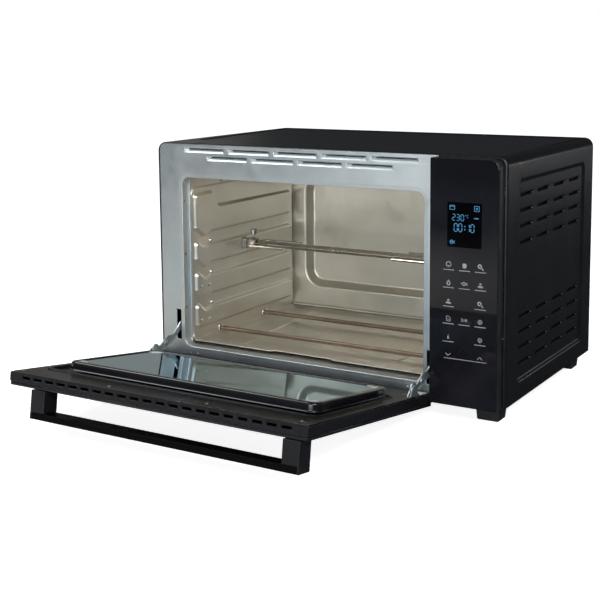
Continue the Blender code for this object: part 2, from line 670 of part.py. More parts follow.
def build_handle(door, paint):
    front = DOOR_OUTER_Y - HINGE_Y
    _, z = at_hinge((0, 0), HANDLE_Z)
    reach = front - HANDLE_REACH
    for (x0, x1), side in zip(HANDLE_POSTS_X, ("left", "right")):
        post = prism(rounded((x0, x1), z, 0.0015, 1), (reach + HANDLE_BAR_T + GAP, front - GAP), "Y")
        add_object(f"handle_post_{side}", post, paint, door)
    length = (HANDLE_POSTS_X[0][0], HANDLE_POSTS_X[1][1])
    bar = prism(rounded(length, z, 0.0015, 1), (reach, reach + HANDLE_BAR_T), "Y")
    add_object("handle_bar", bar, paint, door)


def build_hinges(door, steel):
    """Each hinge: a bracket with its pin on the door, and the notched arm that runs through the slot."""
    pin_y = ARM_PIN_Y - HINGE_Y
    plate_y = DOOR_INNER_Y - HINGE_Y + GAP
    slope = ARM_REST_DEG - DOOR_OPEN_DEG
    hinges = (("left", SLOT_LEFT_X, 1, 0.0), ("right", SLOT_RIGHT_X, -1, RIGHT_HINGE_DROP))
    for side, slot, way, drop in hinges:
        pin_z = ARM_PIN_Z - HINGE_Z - drop
        outer = slot[0] if way > 0 else slot[1]
        near, far = sorted((outer + way * 0.0012, outer + way * 0.0027))
        ear = [(plate_y, pin_z - 0.016), (pin_y + 0.001, pin_z - 0.006), (pin_y + 0.006, pin_z),
               (pin_y + 0.001, pin_z + 0.006), (plate_y, pin_z + 0.010)]
        bracket = add_object(f"hinge_bracket_{side}", prism(ear, (near, far), "X"), steel, door)
        pin = sorted((outer + way * 0.0018, outer + way * 0.0078))
        cut_with(bracket, cylinder((pin_y, pin_z), ARM_PIN_R, pin, "X", 14), "UNION")
        pivot = make_empty(f"hinge_arm_{side}_pivot", (0.0, pin_y, pin_z), door, math.radians(slope))
        arm_x = sorted((outer + way * 0.0036, outer + way * 0.0058))
        arm = add_object(f"hinge_arm_{side}", prism(arm_outline(), arm_x, "X"), steel, pivot)
        cut_with(arm, cylinder((0, 0), ARM_PIN_R + GAP, (arm_x[0] - 0.005, arm_x[1] + 0.005), "X", 14))


def arm_outline():
    """The arm from the side, along +y from its pin: a round boss, two notches and a hook."""
    boss_points = [(0.0065 * math.cos(a), 0.0065 * math.sin(a))
                   for a in (math.radians(90 + 22.5 * i) for i in range(9))]
    lower = [(0.020, -0.0070), (0.052, -0.0070), (0.060, -0.0050), (ARM_LENGTH - 0.008, -0.0050),
             (ARM_LENGTH, -0.0010)]
    upper = [(ARM_LENGTH, 0.0035), (ARM_LENGTH - 0.010, 0.0060), (0.062, 0.0060), (0.056, 0.0030),
             (0.050, 0.0030), (0.044, 0.0066), (0.030, 0.0066), (0.024, 0.0036), (0.016, 0.0040)]
    return boss_points + lower + upper


def middle_y():
    """The middle of the whole object from front to back, from the open handle's tip to the cord inlet."""
    tip_y, tip_z = DOOR_OUTER_Y - HANDLE_REACH - HINGE_Y, HANDLE_Z[1] - HINGE_Z
    angle = math.radians(DOOR_OPEN_DEG)
    front = HINGE_Y + tip_y * math.cos(angle) - tip_z * math.sin(angle)
    return (front + INLET_END_Y) / 2


def main():
    clear_scene()
    black = make_material("black_paint", (0.012, 0.012, 0.014), 0.35)
    door_black = make_material("door_black", (0.010, 0.010, 0.011), 0.25)
    galvanised = make_material("galvanised_steel", (0.50, 0.56, 0.60), 0.38, 0.9)
    liner = make_material("liner_steel", (0.52, 0.49, 0.44), 0.40, 0.8)
    hinge = make_material("hinge_steel", (0.42, 0.48, 0.52), 0.35, 0.9)
    chrome = make_material("bright_steel", (0.65, 0.65, 0.66), 0.20, 1.0)
    element = make_material("heating_element", (0.26, 0.19, 0.14), 0.45, 0.7)
    black_glass = make_material("black_glass", (0.006, 0.006, 0.008), 0.06)
    smoked = make_material("smoked_glass", (0.020, 0.022, 0.025), 0.04)
    clear = make_material("clear_glass", (0.80, 0.82, 0.80), 0.15)
    rubber = make_material("black_rubber", (0.015, 0.015, 0.016), 0.60)
    plastic = make_material("black_plastic", (0.020, 0.020, 0.022), 0.40)
    ceramic = make_material("white_ceramic", (0.80, 0.78, 0.72), 0.50)
    board = make_material("circuit_board", (0.05, 0.22, 0.10), 0.50)
    dark = make_material("dark_metal", (0.10, 0.10, 0.11), 0.45, 0.5)
    wool = make_material("mineral_wool", (0.75, 0.72, 0.60), 0.95)

    root = make_empty("oven_frame", (-CASING_W / 2, -middle_y(), FOOT_H))
    build_casing(root, black)
    build_feet(root, rubber)
    build_front_frame(root, galvanised)
    build_pivot_ears(root, hinge)
    add_object("insulation_blanket", build_cavity(root, liner), wool, root)
    build_tray(root, liner)
    build_heaters(root, element)
    build_spit(root, chrome, hinge)
    build_spit_holders(root, hinge, dark)
    build_fan(root, hinge, dark, galvanised)
    build_lamp_and_probe(root, clear, ceramic, hinge)
    build_panel(root, plastic, black_glass, board, dark)
    build_inlet(root, rubber)
    door = make_empty("door_hinge", (0.0, HINGE_Y, HINGE_Z), root, math.radians(DOOR_OPEN_DEG))
    build_door_body(door, door_black, black_glass)
    build_window(door, door_black, smoked)
    build_handle(door, door_black)
    build_hinges(door, hinge)


main()
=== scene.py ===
"""Toaster oven: the visible pieces and their finishes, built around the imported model.

Pieces are drawn in the oven's corner frame (x right from the casing, y back from the front frame, z up
from the casing's underside) or in the same frame with the door closed, and then set in place.
"""

import json
import math

import bmesh
import bpy
from mathutils import Matrix, Vector
from mathutils.geometry import tessellate_polygon


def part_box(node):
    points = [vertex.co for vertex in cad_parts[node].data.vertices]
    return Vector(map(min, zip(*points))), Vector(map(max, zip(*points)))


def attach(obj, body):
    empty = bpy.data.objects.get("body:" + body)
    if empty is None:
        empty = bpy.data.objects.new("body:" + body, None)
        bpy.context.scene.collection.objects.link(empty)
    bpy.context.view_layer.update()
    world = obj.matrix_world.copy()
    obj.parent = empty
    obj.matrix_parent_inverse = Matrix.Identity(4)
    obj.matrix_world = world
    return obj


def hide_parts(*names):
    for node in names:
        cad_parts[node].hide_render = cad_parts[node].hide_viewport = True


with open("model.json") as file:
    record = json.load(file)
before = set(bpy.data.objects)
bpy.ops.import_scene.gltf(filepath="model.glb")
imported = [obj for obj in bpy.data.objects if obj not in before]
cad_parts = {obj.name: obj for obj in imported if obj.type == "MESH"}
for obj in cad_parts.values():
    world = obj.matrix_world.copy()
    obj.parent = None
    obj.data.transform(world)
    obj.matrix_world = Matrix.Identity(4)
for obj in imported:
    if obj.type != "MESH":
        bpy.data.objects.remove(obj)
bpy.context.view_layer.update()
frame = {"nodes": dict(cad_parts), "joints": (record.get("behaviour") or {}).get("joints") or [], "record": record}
for carried_over in list(bpy.data.materials):
    bpy.data.materials.remove(carried_over)

# Spaces
JOINTS = {joint["name"]: joint for joint in frame["joints"]}
CASING_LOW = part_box("outer_casing")[0]
OVEN = Matrix.Translation((CASING_LOW.x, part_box("front_frame")[0].y, CASING_LOW.z))
HINGE = Vector(JOINTS["door_hinge"]["pos_m"])
OPEN_ANGLE = -math.radians(JOINTS["door_hinge"]["range_deg"][0])
DOOR = Matrix.Translation(HINGE) @ Matrix.Rotation(OPEN_ANGLE, 4, "X") @ Matrix.Translation(-HINGE) @ OVEN


def extent(node, space=OVEN):
    """The node's spans along x, y and z, in a space's own directions."""
    back = space.inverted()
    points = [back @ vertex.co for vertex in frame["nodes"][node].data.vertices]
    return [(min(p[i] for p in points), max(p[i] for p in points)) for i in range(3)]


# Driving dimensions
SHEET = 0.0012
CASING = extent("outer_casing")
CASING_W, CASING_D, CASING_H = CASING[0][1], CASING[1][1], CASING[2][1]
CASING_ROUND = 0.013
RIM_SIDE = 0.0036
RIM_TOP = 0.0017
FRAME = extent("front_frame")
WALL_LEFT_X = extent("liner_left")[0][0] + 0.001
WALL_RIGHT_X = extent("liner_right")[0][1] - 0.001
OPENING_X = (WALL_LEFT_X - 0.0028, WALL_RIGHT_X + 0.0013)
OPENING_Z = (0.0195, 0.2728)
OPENING_ROUND = 0.012
FLANGE_D = FRAME[1][1]
BACK_Y = 0.302


# Outlines

def spread(first, last, count, width):
    """The spans of equal pieces, the first starting at first and the last ending at last."""
    step = (last - first - width) / (count - 1)
    return [(first + i * step, first + i * step + width) for i in range(count)]


def fillet(points, radius, grow=0.0, steps=4):
    """An anticlockwise outline with round corners, moved outwards by grow; one radius, or one per corner."""
    count = len(points)
    corners = [Vector(p) for p in points]
    radii = radius if isinstance(radius, (list, tuple)) else [radius] * count
    outline = []
    for i, corner in enumerate(corners):
        before = (corner - corners[i - 1]).normalized()
        after = (corners[(i + 1) % count] - corner).normalized()
        out = Vector((before.y + after.y, -before.x - after.x))
        turn = math.atan2(before.x * after.y - before.y * after.x, before.dot(after))
        way = 1.0 if turn > 0 else -1.0
        r = max(radii[i] + grow * way, 0.0002)
        left = Vector((-before.y, before.x))
        start = corner + out * (2.0 * grow / out.length_squared) - before * r * math.tan(abs(turn) / 2)
        centre = start + left * r * way
        for k in range(steps + 1):
            angle = turn * k / steps
            arm = start - centre
            outline.append((centre.x + arm.x * math.cos(angle) - arm.y * math.sin(angle),
                            centre.y + arm.x * math.sin(angle) + arm.y * math.cos(angle)))
    return outline


def rectangle(a, b):
    return [(a[0], b[0]), (a[1], b[0]), (a[1], b[1]), (a[0], b[1])]


def rounded(a, b, radius=0.0, grow=0.0, steps=5):
    """A rectangle over the spans a and b, grown, with round corners."""
    if radius <= 0.0:
        return rectangle((a[0] - grow, a[1] + grow), (b[0] - grow, b[1] + grow))
    return fillet(rectangle(a, b), radius, grow, steps)


def circle(a, b, radius, steps=24):
    return [(a + radius * math.cos(2 * math.pi * i / steps), b + radius * math.sin(2 * math.pi * i / steps))
            for i in range(steps)]


def box_shape(a, b, radius=0.0, steps=5):
    """A rounded rectangle as a function of how far it is grown."""
    return lambda grow: rounded(a, b, radius, grow, steps)


def path_shape(points, radius, steps=4):
    return lambda grow: fillet(points, radius, grow, steps)


def disc_shape(a, b, radius, steps=24):
    return lambda grow: circle(a, b, radius + grow, steps)


# Planes: functions from a face's own (a, b, height) to a point

def facing_front(level):
    return lambda a, b, h: Vector((a, level - h, b))


def facing_back(level):
    return lambda a, b, h: Vector((a, level + h, b))


def facing_right(level):
    return lambda a, b, h: Vector((level + h, a, b))


def facing_left(level):
    return lambda a, b, h: Vector((level - h, a, b))


def facing_up(level):
    return lambda a, b, h: Vector((a, b, level + h))


def facing_down(level):
    return lambda a, b, h: Vector((a, b, level - h))


# Mesh building

def ring(bm, outline, height, put):
    return [bm.verts.new(put(a, b, height)) for a, b in outline]


def bridge(bm, one, other):
    count = len(one)
    for i in range(count):
        j = (i + 1) % count
        bm.faces.new((one[i], one[j], other[j], other[i]))


def fill(bm, outer, outline, holes, hole_outlines):
    """Triangles between an outer ring and the rings of its holes."""
    loops = [[Vector((p[0], p[1], 0.0)) for p in line] for line in [outline, *hole_outlines]]
    verts = list(outer)
    for hole_ring in holes:
        verts += hole_ring
    for tri in tessellate_polygon(loops):
        bm.faces.new([verts[i] for i in tri])


def hole(shape, edge=0.0005, depth=None):
    """An opening with a softened edge. Rings are (outline, height)."""
    front = [(shape(edge), 0.0), (shape(edge * 0.3), -edge * 0.3), (shape(0.0), -edge)]
    return {"front": front, "back": [(shape(0.0), -SHEET if depth is None else -depth)], "inner": None}


def emboss(shape, width, rise, inner=(), steps=6, thickness=SHEET):
    """A raised or sunk area: its edge slopes over width in a smooth S."""
    front = []
    for i in range(steps + 1):
        t = i / steps
        front.append((shape(-width * t), rise * (1 - math.cos(math.pi * t)) / 2))
    return {"front": front, "back": [(line, h - thickness) for line, h in front], "inner": list(inner)}


def area(bm, put, outline, outer, features, level, side):
    """Fills one side of a sheet inside its outer ring; returns the rings where its holes end."""
    ends = []
    starts = [feature[side][0][0] for feature in features]
    rings = [ring(bm, feature[side][0][0], level + feature[side][0][1], put) for feature in features]
    fill(bm, outer, outline, rings, starts)
    for feature, current in zip(features, rings):
        for line, height in feature[side][1:]:
            following = ring(bm, line, level + height, put)
            bridge(bm, current, following)
            current = following
        if feature["inner"] is None:
            ends.append(current)
        else:
            last, height = feature["front"][-1]
            ends += area(bm, put, last, current, feature["inner"], level + height, side)
    return ends


def sheet(put, outline, features=(), thickness=SHEET):
    """A closed sheet whose face is at height 0, with features on it."""
    bm = bmesh.new()
    front = ring(bm, outline, 0.0, put)
    back = ring(bm, outline, -thickness, put)
    bridge(bm, front, back)
    front_ends = area(bm, put, outline, front, features, 0.0, "front")
    back_ends = area(bm, put, outline, back, features, 0.0, "back")
    for one, other in zip(front_ends, back_ends):
        bridge(bm, one, other)
    return bm


def loft(put, sections, closed=False, bm=None):
    """A body through rings of equal point counts; sections are (outline, height). Closed makes a frame."""
    bm = bm or bmesh.new()
    rings = [ring(bm, outline, height, put) for outline, height in sections]
    for one, other in zip(rings, rings[1:]):
        bridge(bm, one, other)
    if closed:
        bridge(bm, rings[-1], rings[0])
    else:
        bm.faces.new(rings[0])
        bm.faces.new(rings[-1])
    return bm


def slab(put, shape, thickness, edge=0.0006, bm=None):
    """A solid plate over a shape, its face at height 0, with rounded edges on both sides."""
    sections = []
    for level, way in ((0.0, -1.0), (-thickness, 1.0)):
        arc = [(edge * (1 - math.sin(a)), level + way * edge * (1 - math.cos(a)))
               for a in (math.radians(v) for v in (0, 30, 60, 90))]
        if way > 0:
            arc = arc[::-1]
        sections += [(shape(-g), h) for g, h in arc]
    return loft(put, sections, bm=bm)


def turned(put, centre, profile, steps=24, closed=False, bm=None):
    """A turned body; profile is a list of (radius, height)."""
    return loft(put, [(circle(*centre, r, steps), h) for r, h in profile], closed, bm)


def swept(path, radius, steps=12, bm=None):
    """A round rod along a list of points, with closed ends."""
    bm = bm or bmesh.new()
    points = [Vector(p) for p in path]
    rings = []
    side = None
    for i, point in enumerate(points):
        before = (point - points[max(i - 1, 0)]).normalized()
        after = (points[min(i + 1, len(points) - 1)] - point).normalized()
        along = (before + after).normalized()
        side = along.orthogonal() if side is None else side - along * side.dot(along)
        side = side.normalized()
        other = along.cross(side)
        rings.append([bm.verts.new(point + (side * math.cos(t) + other * math.sin(t)) * radius)
                      for t in (2 * math.pi * k / steps for k in range(steps))])
    for one, two in zip(rings, rings[1:]):
        bridge(bm, one, two)
    bm.faces.new(rings[0])
    bm.faces.new(rings[-1])
    return bm


def smooth_path(points, samples=8):
    """Points of a smooth curve through a few given ones."""
    pts = [Vector(p) for p in points]
    pts = [pts[0] * 2 - pts[1], *pts, pts[-1] * 2 - pts[-2]]
    result = []
    for i in range(1, len(pts) - 2):
        a, b, c, d = pts[i - 1:i + 3]
        for k in range(samples):
            t = k / samples
            result.append(0.5 * (2 * b + (c - a) * t + (2 * a - 5 * b + 4 * c - d) * t ** 2
                                 + (3 * b - a - 3 * c + d) * t ** 3))
    result.append(pts[-2])
    return result


def add_piece(name, bm, material, body, space=OVEN, replaces=(), bevel=0.0, angle=35.0):
    """Makes the mesh an object in its place, which rides on a body."""
    bmesh.ops.remove_doubles(bm, verts=bm.verts, dist=0.000005)
    bmesh.ops.recalc_face_normals(bm, faces=bm.faces)
    bmesh.ops.transform(bm, matrix=space, verts=bm.verts)
    mesh = bpy.data.meshes.new(name)
    bm.to_mesh(mesh)
    bm.free()
    mesh.shade_smooth()
    mesh.set_sharp_from_angle(angle=math.radians(angle + 10.0))
    mesh.materials.append(material)
    piece = bpy.data.objects.new(name, mesh)
    bpy.context.scene.collection.objects.link(piece)
    finish_edges(piece, bevel, angle)
    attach(piece, body)
    if replaces:
        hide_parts(*replaces)
    return piece


def finish_edges(piece, bevel, angle=35.0):
    if bevel > 0.0:
        rounding = piece.modifiers.new("Edges", "BEVEL")
        rounding.width = bevel
        rounding.segments = 3
        rounding.limit_method = "ANGLE"
        rounding.angle_limit = math.radians(angle)
    weighted = piece.modifiers.new("Normals", "WEIGHTED_NORMAL")
    weighted.keep_sharp = True


# Materials

def new_material(name, colour, roughness, metallic=0.0, **sockets):
    material = bpy.data.materials.new(name)
    material.use_nodes = True
    shader = material.node_tree.nodes["Principled BSDF"]
    shader.inputs["Base Color"].default_value = (*colour, 1.0)
    shader.inputs["Roughness"].default_value = roughness
    shader.inputs["Metallic"].default_value = metallic
    for socket, value in sockets.items():
        shader.inputs[socket.replace("_", " ")].default_value = value
    return material


def node(material, kind, values=(), **settings):
    made = material.node_tree.nodes.new(kind)
    for key, value in settings.items():
        setattr(made, key, value)
    for socket, value in dict(values).items():
        made.inputs[socket].default_value = value
    return made


def join(material, source, target):
    material.node_tree.links.new(source, target)


def coordinates(material, stretch=(1.0, 1.0, 1.0), turn=(0.0, 0.0, 0.0)):
    """Object coordinates, in metres, with an optional stretch."""
    texture = node(material, "ShaderNodeTexCoord")
    mapping = node(material, "ShaderNodeMapping", {"Scale": stretch, "Rotation": turn})
    join(material, texture.outputs["Object"], mapping.inputs["Vector"])
    return mapping.outputs["Vector"]


def noise(material, scale, detail=3.0, roughness=0.5, stretch=(1.0, 1.0, 1.0), turn=(0.0, 0.0, 0.0)):
    made = node(material, "ShaderNodeTexNoise", {"Scale": scale, "Detail": detail, "Roughness": roughness})
    join(material, coordinates(material, stretch, turn), made.inputs["Vector"])
    return made.outputs["Fac"]


def cells(material, scale, feature="F1"):
    made = node(material, "ShaderNodeTexVoronoi", {"Scale": scale}, feature=feature)
    join(material, coordinates(material), made.inputs["Vector"])
    return made


def remap(material, source, low, high, start=0.3, end=0.7):
    spans = {"From Min": start, "From Max": end, "To Min": low, "To Max": high}
    made = node(material, "ShaderNodeMapRange", spans)
    join(material, source, made.inputs["Value"])
    return made.outputs["Result"]


# Sockets of a colour mix node
MIX_FACTOR, MIX_A, MIX_B, MIX_RESULT = 0, 6, 7, 2


def blend(material, fac, one, two):
    """Mixes two colours or colour sockets by a factor socket."""
    made = node(material, "ShaderNodeMix", data_type="RGBA")
    join(material, fac, made.inputs[MIX_FACTOR])
    for source, index in ((one, MIX_A), (two, MIX_B)):
        if isinstance(source, bpy.types.NodeSocket):
            join(material, source, made.inputs[index])
        else:
            made.inputs[index].default_value = (*source, 1.0)
    return made.outputs[MIX_RESULT]


def shader_of(material):
    return material.node_tree.nodes["Principled BSDF"]


def set_colour(material, socket):
    join(material, socket, shader_of(material).inputs["Base Color"])


def set_roughness(material, socket):
    join(material, socket, shader_of(material).inputs["Roughness"])


def set_bump(material, layers):
    """Layers are (height socket, depth in metres), added one on the other."""
    normal = None
    for height, depth in layers:
        made = node(material, "ShaderNodeBump", {"Strength": 1.0, "Distance": depth})
        join(material, height, made.inputs["Height"])
        if normal is not None:
            join(material, normal, made.inputs["Normal"])
        normal = made.outputs["Normal"]
    join(material, normal, shader_of(material).inputs["Normal"])


def galvanised(name, colour, cloudy, rough, metallic):
    """Zinc-coated sheet: a soft spangle, fine grain and broad cloudy patches."""
    material = new_material(name, colour, 0.35, metallic)
    clouds = noise(material, 9.0, 4.0)
    spangle = cells(material, 420.0)
    fine = noise(material, 2600.0, 2.0)
    tone = blend(material, remap(material, clouds, 0.0, 1.0), colour, cloudy)
    glint = remap(material, spangle.outputs["Color"], 0.0, 0.1, 0.0, 1.0)
    tint = blend(material, glint, tone, (1.0, 1.0, 1.0))
    set_colour(material, blend(material, remap(material, fine, 0.0, 0.16), tint, (0.1, 0.12, 0.13)))
    mixed = node(material, "ShaderNodeMath", operation="ADD")
    join(material, remap(material, spangle.outputs["Distance"], 0.0, 0.06, 0.0, 0.6), mixed.inputs[0])
    join(material, remap(material, noise(material, 60.0, 4.0), *rough), mixed.inputs[1])
    set_roughness(material, mixed.outputs["Value"])
    set_bump(material, [(noise(material, 45.0, 2.0), 0.00012), (fine, 0.000004)])
    return material


def worked_steel(name, colour, stain, rough, grain=(900.0, 20.0, 900.0), metallic=1.0):
    """Satin steel sheet with a fine rolling grain, handling marks and heat stains."""
    material = new_material(name, colour, 0.35, metallic)
    patches = noise(material, 7.0, 5.0, 0.6)
    lines = noise(material, 1.0, 2.0, 0.5, grain)
    smears = noise(material, 34.0, 5.0, 0.65)
    tone = blend(material, remap(material, patches, 0.0, 0.8, 0.38, 0.72), colour, stain)
    set_colour(material, blend(material, remap(material, lines, 0.0, 0.07), tone, (0.16, 0.15, 0.13)))
    set_roughness(material, remap(material, smears, *rough))
    set_bump(material, [(noise(material, 26.0, 2.0), 0.0002), (lines, 0.000004)])
    return material


def painted(name, colour, haze, rough, texture=1500.0, depth=0.000012, specular=0.5, wave=0.00008):
    """Stoved paint: a fine orange peel, faint dust and rubbed patches."""
    material = new_material(name, colour, 0.35, Specular_IOR_Level=specular)
    peel = noise(material, texture, 2.0)
    rub = noise(material, 18.0, 6.0, 0.62)
    dust = noise(material, 420.0, 3.0, 0.7)
    tone = blend(material, remap(material, rub, 0.0, 0.6, 0.45, 0.8), colour, haze)
    dusty = remap(material, dust, 0.0, 0.1, 0.55, 0.8)
    set_colour(material, blend(material, dusty, tone, (0.05, 0.05, 0.052)))
    set_roughness(material, remap(material, rub, *rough))
    set_bump(material, [(noise(material, 30.0, 2.0), wave), (peel, depth)])
    return material


def polished(name, colour, rough=(0.02, 0.06), gain=2.2, metallic=0.0, **sockets):
    """Glass or gloss enamel: nearly flat, with faint smears. Metallic makes it a mirror, as a coating would, and
    its colour tints everything it reflects.
    """
    material = new_material(name, colour, 0.04, metallic, **sockets)
    smear = noise(material, 14.0, 5.0, 0.6, (1.0, 0.4, 1.0))
    tone = tuple(min(c * gain + 0.004, 1.0) for c in colour)
    set_colour(material, blend(material, remap(material, smear, 0.0, 0.5, 0.4, 0.8), colour, tone))
    set_roughness(material, remap(material, smear, *rough))
    set_bump(material, [(noise(material, 8.0, 1.0), 0.00002)])
    return material


def moulded(name, colour, rough=(0.45, 0.6), grain=2400.0, depth=0.00003):
    """Moulded plastic or rubber with a fine spark-eroded grain."""
    material = new_material(name, colour, 0.5)
    pits = noise(material, grain, 3.0, 0.6)
    wear = noise(material, 40.0, 5.0, 0.6)
    lighter = tuple(c * 1.8 + 0.01 for c in colour)
    set_colour(material, blend(material, remap(material, wear, 0.0, 0.5, 0.4, 0.8), colour, lighter))
    set_roughness(material, remap(material, wear, *rough))
    set_bump(material, [(pits, depth)])
    return material


def heat_rod(name):
    """A sheathed element: bronze oxide with darker rings and a dull sheen."""
    material = new_material(name, (0.16, 0.105, 0.07), 0.35, 0.9)
    along = noise(material, 1.0, 4.0, 0.6, (60.0, 400.0, 400.0))
    speckle = noise(material, 900.0, 4.0, 0.7)
    tone = blend(material, remap(material, along, 0.0, 1.0), (0.24, 0.185, 0.14), (0.13, 0.095, 0.07))
    set_colour(material, blend(material, remap(material, speckle, 0.0, 0.5), tone, (0.3, 0.22, 0.16)))
    set_roughness(material, remap(material, speckle, 0.24, 0.38))
    set_bump(material, [(speckle, 0.00002)])
    return material


def circuit(name):
    """A green board with lighter copper tracks under the lacquer."""
    material = new_material(name, (0.03, 0.16, 0.07), 0.35)
    tracks = cells(material, 260.0, "DISTANCE_TO_EDGE")
    lines = remap(material, tracks.outputs["Distance"], 1.0, 0.0, 0.04, 0.07)
    set_colour(material, blend(material, lines, (0.02, 0.12, 0.05), (0.06, 0.28, 0.12)))
    set_roughness(material, remap(material, noise(material, 300.0), 0.28, 0.42))
    set_bump(material, [(lines, 0.00004)])
    return material


def fleece(name):
    """Mineral wool: crossed fibres, uneven and matt."""
    material = new_material(name, (0.6, 0.56, 0.42), 0.95, 0.0, Sheen_Weight=0.3)
    fibres = noise(material, 1.0, 5.0, 0.7, (2500.0, 260.0, 900.0), (0.2, 0.3, 0.7))
    crossed = noise(material, 1.0, 5.0, 0.7, (260.0, 2500.0, 900.0), (0.5, 0.1, 0.2))
    mixed = remap(material, fibres, 0.0, 1.0)
    set_colour(material, blend(material, mixed, (0.42, 0.38, 0.26), (0.78, 0.74, 0.6)))
    set_roughness(material, remap(material, crossed, 0.85, 1.0))
    set_bump(material, [(fibres, 0.0006), (crossed, 0.0006)])
    return material


def speckled(name, colour, rough=(0.35, 0.5), depth=0.00005, **sockets):
    """Fired ceramic or frosted glass: fine mottling."""
    material = new_material(name, colour, 0.4, 0.0, **sockets)
    mottle = noise(material, 260.0, 4.0, 0.6)
    darker = tuple(c * 0.82 for c in colour)
    set_colour(material, blend(material, remap(material, mottle, 0.0, 1.0), colour, darker))
    set_roughness(material, remap(material, noise(material, 60.0), *rough))
    set_bump(material, [(mottle, depth)])
    return material


def lit(name, colour, strength):
    """A lit segment behind the glass, a little uneven as a real one is."""
    material = new_material(name, (0.0, 0.0, 0.0), 0.4, 0.0, Emission_Strength=strength)
    glow = noise(material, 1800.0, 2.0)
    shade = tuple(c * 0.7 for c in colour)
    mixed = blend(material, remap(material, glow, 0.0, 1.0), colour, shade)
    join(material, mixed, shader_of(material).inputs["Emission Color"])
    set_roughness(material, remap(material, glow, 0.3, 0.5))
    return material


STEEL = galvanised("galvanised_steel", (0.6, 0.67, 0.7), (0.7, 0.73, 0.73), (0.3, 0.4), 0.95)
CLIP = galvanised("clip_steel", (0.62, 0.67, 0.69), (0.7, 0.73, 0.73), (0.3, 0.4), 0.6)
HINGE_STEEL = galvanised("hinge_steel", (0.34, 0.41, 0.45), (0.44, 0.5, 0.52), (0.26, 0.38), 0.85)
LINER = worked_steel("liner_steel", (0.66, 0.64, 0.58), (0.58, 0.54, 0.46), (0.28, 0.4), metallic=0.85)
BRIGHT = worked_steel("bright_steel", (0.6, 0.58, 0.55), (0.44, 0.41, 0.36), (0.18, 0.3),
                      (60.0, 1400.0, 1400.0))
RIVET = worked_steel("rivet_brass", (0.34, 0.25, 0.17), (0.22, 0.16, 0.11), (0.3, 0.45),
                     (500.0, 500.0, 500.0))
BLACK = painted("black_paint", (0.006, 0.006, 0.007), (0.01, 0.01, 0.011), (0.26, 0.36), specular=0.4)
DOOR_BLACK = painted("door_black", (0.008, 0.008, 0.01), (0.011, 0.011, 0.013), (0.24, 0.32), 1800.0,
                     0.000003, 0.28, 0.00002)
INNER_BLACK = painted("inner_black", (0.006, 0.006, 0.007), (0.007, 0.007, 0.009), (0.26, 0.33), 1700.0,
                      0.000003, 0.12, 0.00001)
GRIP_BLACK = painted("grip_black", (0.0012, 0.0012, 0.0014), (0.002, 0.002, 0.002), (0.4, 0.5), 1900.0,
                     0.000004, 0.06)
DARK = painted("dark_metal", (0.09, 0.09, 0.1), (0.15, 0.15, 0.15), (0.4, 0.55), 900.0, 0.00002)
RIM_BLACK = polished("rim_black", (0.004, 0.004, 0.005), (0.1, 0.16))
GLOSS = polished("black_glass", (0.006, 0.006, 0.008))
# The pane's blue mirror tint is partly the smoked glass and partly painted reflection: it gives what the pane
# reflects the cool tone of the front light.
SMOKED_AND_COOL_REFLECTION = polished("smoked_glass", (0.26, 0.375, 0.47), (0.015, 0.05), 1.15, 1.0,
                  Specular_Tint=(0.86, 0.96, 1.0, 1.0))
SCREEN = polished("display_face", (0.0005, 0.0005, 0.001), (0.03, 0.07), 1.0, Specular_IOR_Level=0.08)
CLEAR = speckled("clear_glass", (0.8, 0.82, 0.8), (0.12, 0.25), 0.00002, Transmission_Weight=0.5)
CERAMIC = speckled("white_ceramic", (0.78, 0.75, 0.68))
RUBBER = moulded("black_rubber", (0.013, 0.013, 0.014), (0.55, 0.72), 1800.0, 0.00005)
PLASTIC = moulded("black_plastic", (0.014, 0.014, 0.015), (0.32, 0.46))
LEGEND = moulded("legend_ink", (0.2, 0.22, 0.22), (0.45, 0.6))
GLOW = lit("display_glow", (0.1, 0.46, 0.85), 0.66)
ELEMENT = heat_rod("heating_element")
BOARD = circuit("circuit_board")
WOOL = fleece("mineral_wool")
BY_SLOT = {m.name: m for m in (STEEL, LINER, HINGE_STEEL, BRIGHT, BLACK, DOOR_BLACK, GLOSS, SMOKED_AND_COOL_REFLECTION, CLEAR,
                               RUBBER, PLASTIC, CERAMIC, ELEMENT, BOARD, DARK, WOOL, SCREEN)}



SOFTENED = ("pivot_ear_left", "pivot_ear_right", "hinge_bracket_left", "hinge_bracket_right", "spit_rod",
            "spit_fork_left", "spit_fork_right", "fork_screw_left", "fork_screw_right", "drive_socket",
            "rotisserie_motor", "fan_housing", "fan_motor", "lamp_holder", "thermal_cutoff", "touch_board",
            "power_board", "transformer", "cord_inlet")


def dress_cad():
    """Gives every CAD node its finish, and softens the sharp edges of those that keep their own shape."""
    for part in frame["record"]["subparts"]:
        carried = frame["nodes"][part["node"]]
        carried.data.materials.clear()
        carried.data.materials.append(BY_SLOT[part["material_slot"]])
        if part["node"] in SOFTENED:
            soften(carried)


def soften(carried):
    weld = carried.modifiers.new("Weld", "WELD")
    weld.merge_threshold = 0.00001
    rounding = carried.modifiers.new("Edges", "BEVEL")
    rounding.width = 0.00025
    rounding.segments = 2
    rounding.limit_method = "ANGLE"
    rounding.angle_limit = math.radians(40)


# Casing

ARC_STEPS = 8
CASING_FRONT_Y = 0.0025
INNER_FRONT_Y = 0.0024


def casing_profile(inset, top_inset):
    """The wrap's outline from the front: up the left side, over the top and down the right."""
    left, right = inset, CASING_W - inset
    top = CASING_H - top_inset
    radius = CASING_ROUND - inset
    points = [(left, 0.0)]
    for centre, start in ((left + radius, 180.0), (right - radius, 90.0)):
        for i in range(ARC_STEPS + 1):
            angle = math.radians(start - 90.0 * i / ARC_STEPS)
            points.append((centre + radius * math.cos(angle), top - radius + radius * math.sin(angle)))
    points.append((right, 0.0))
    return points


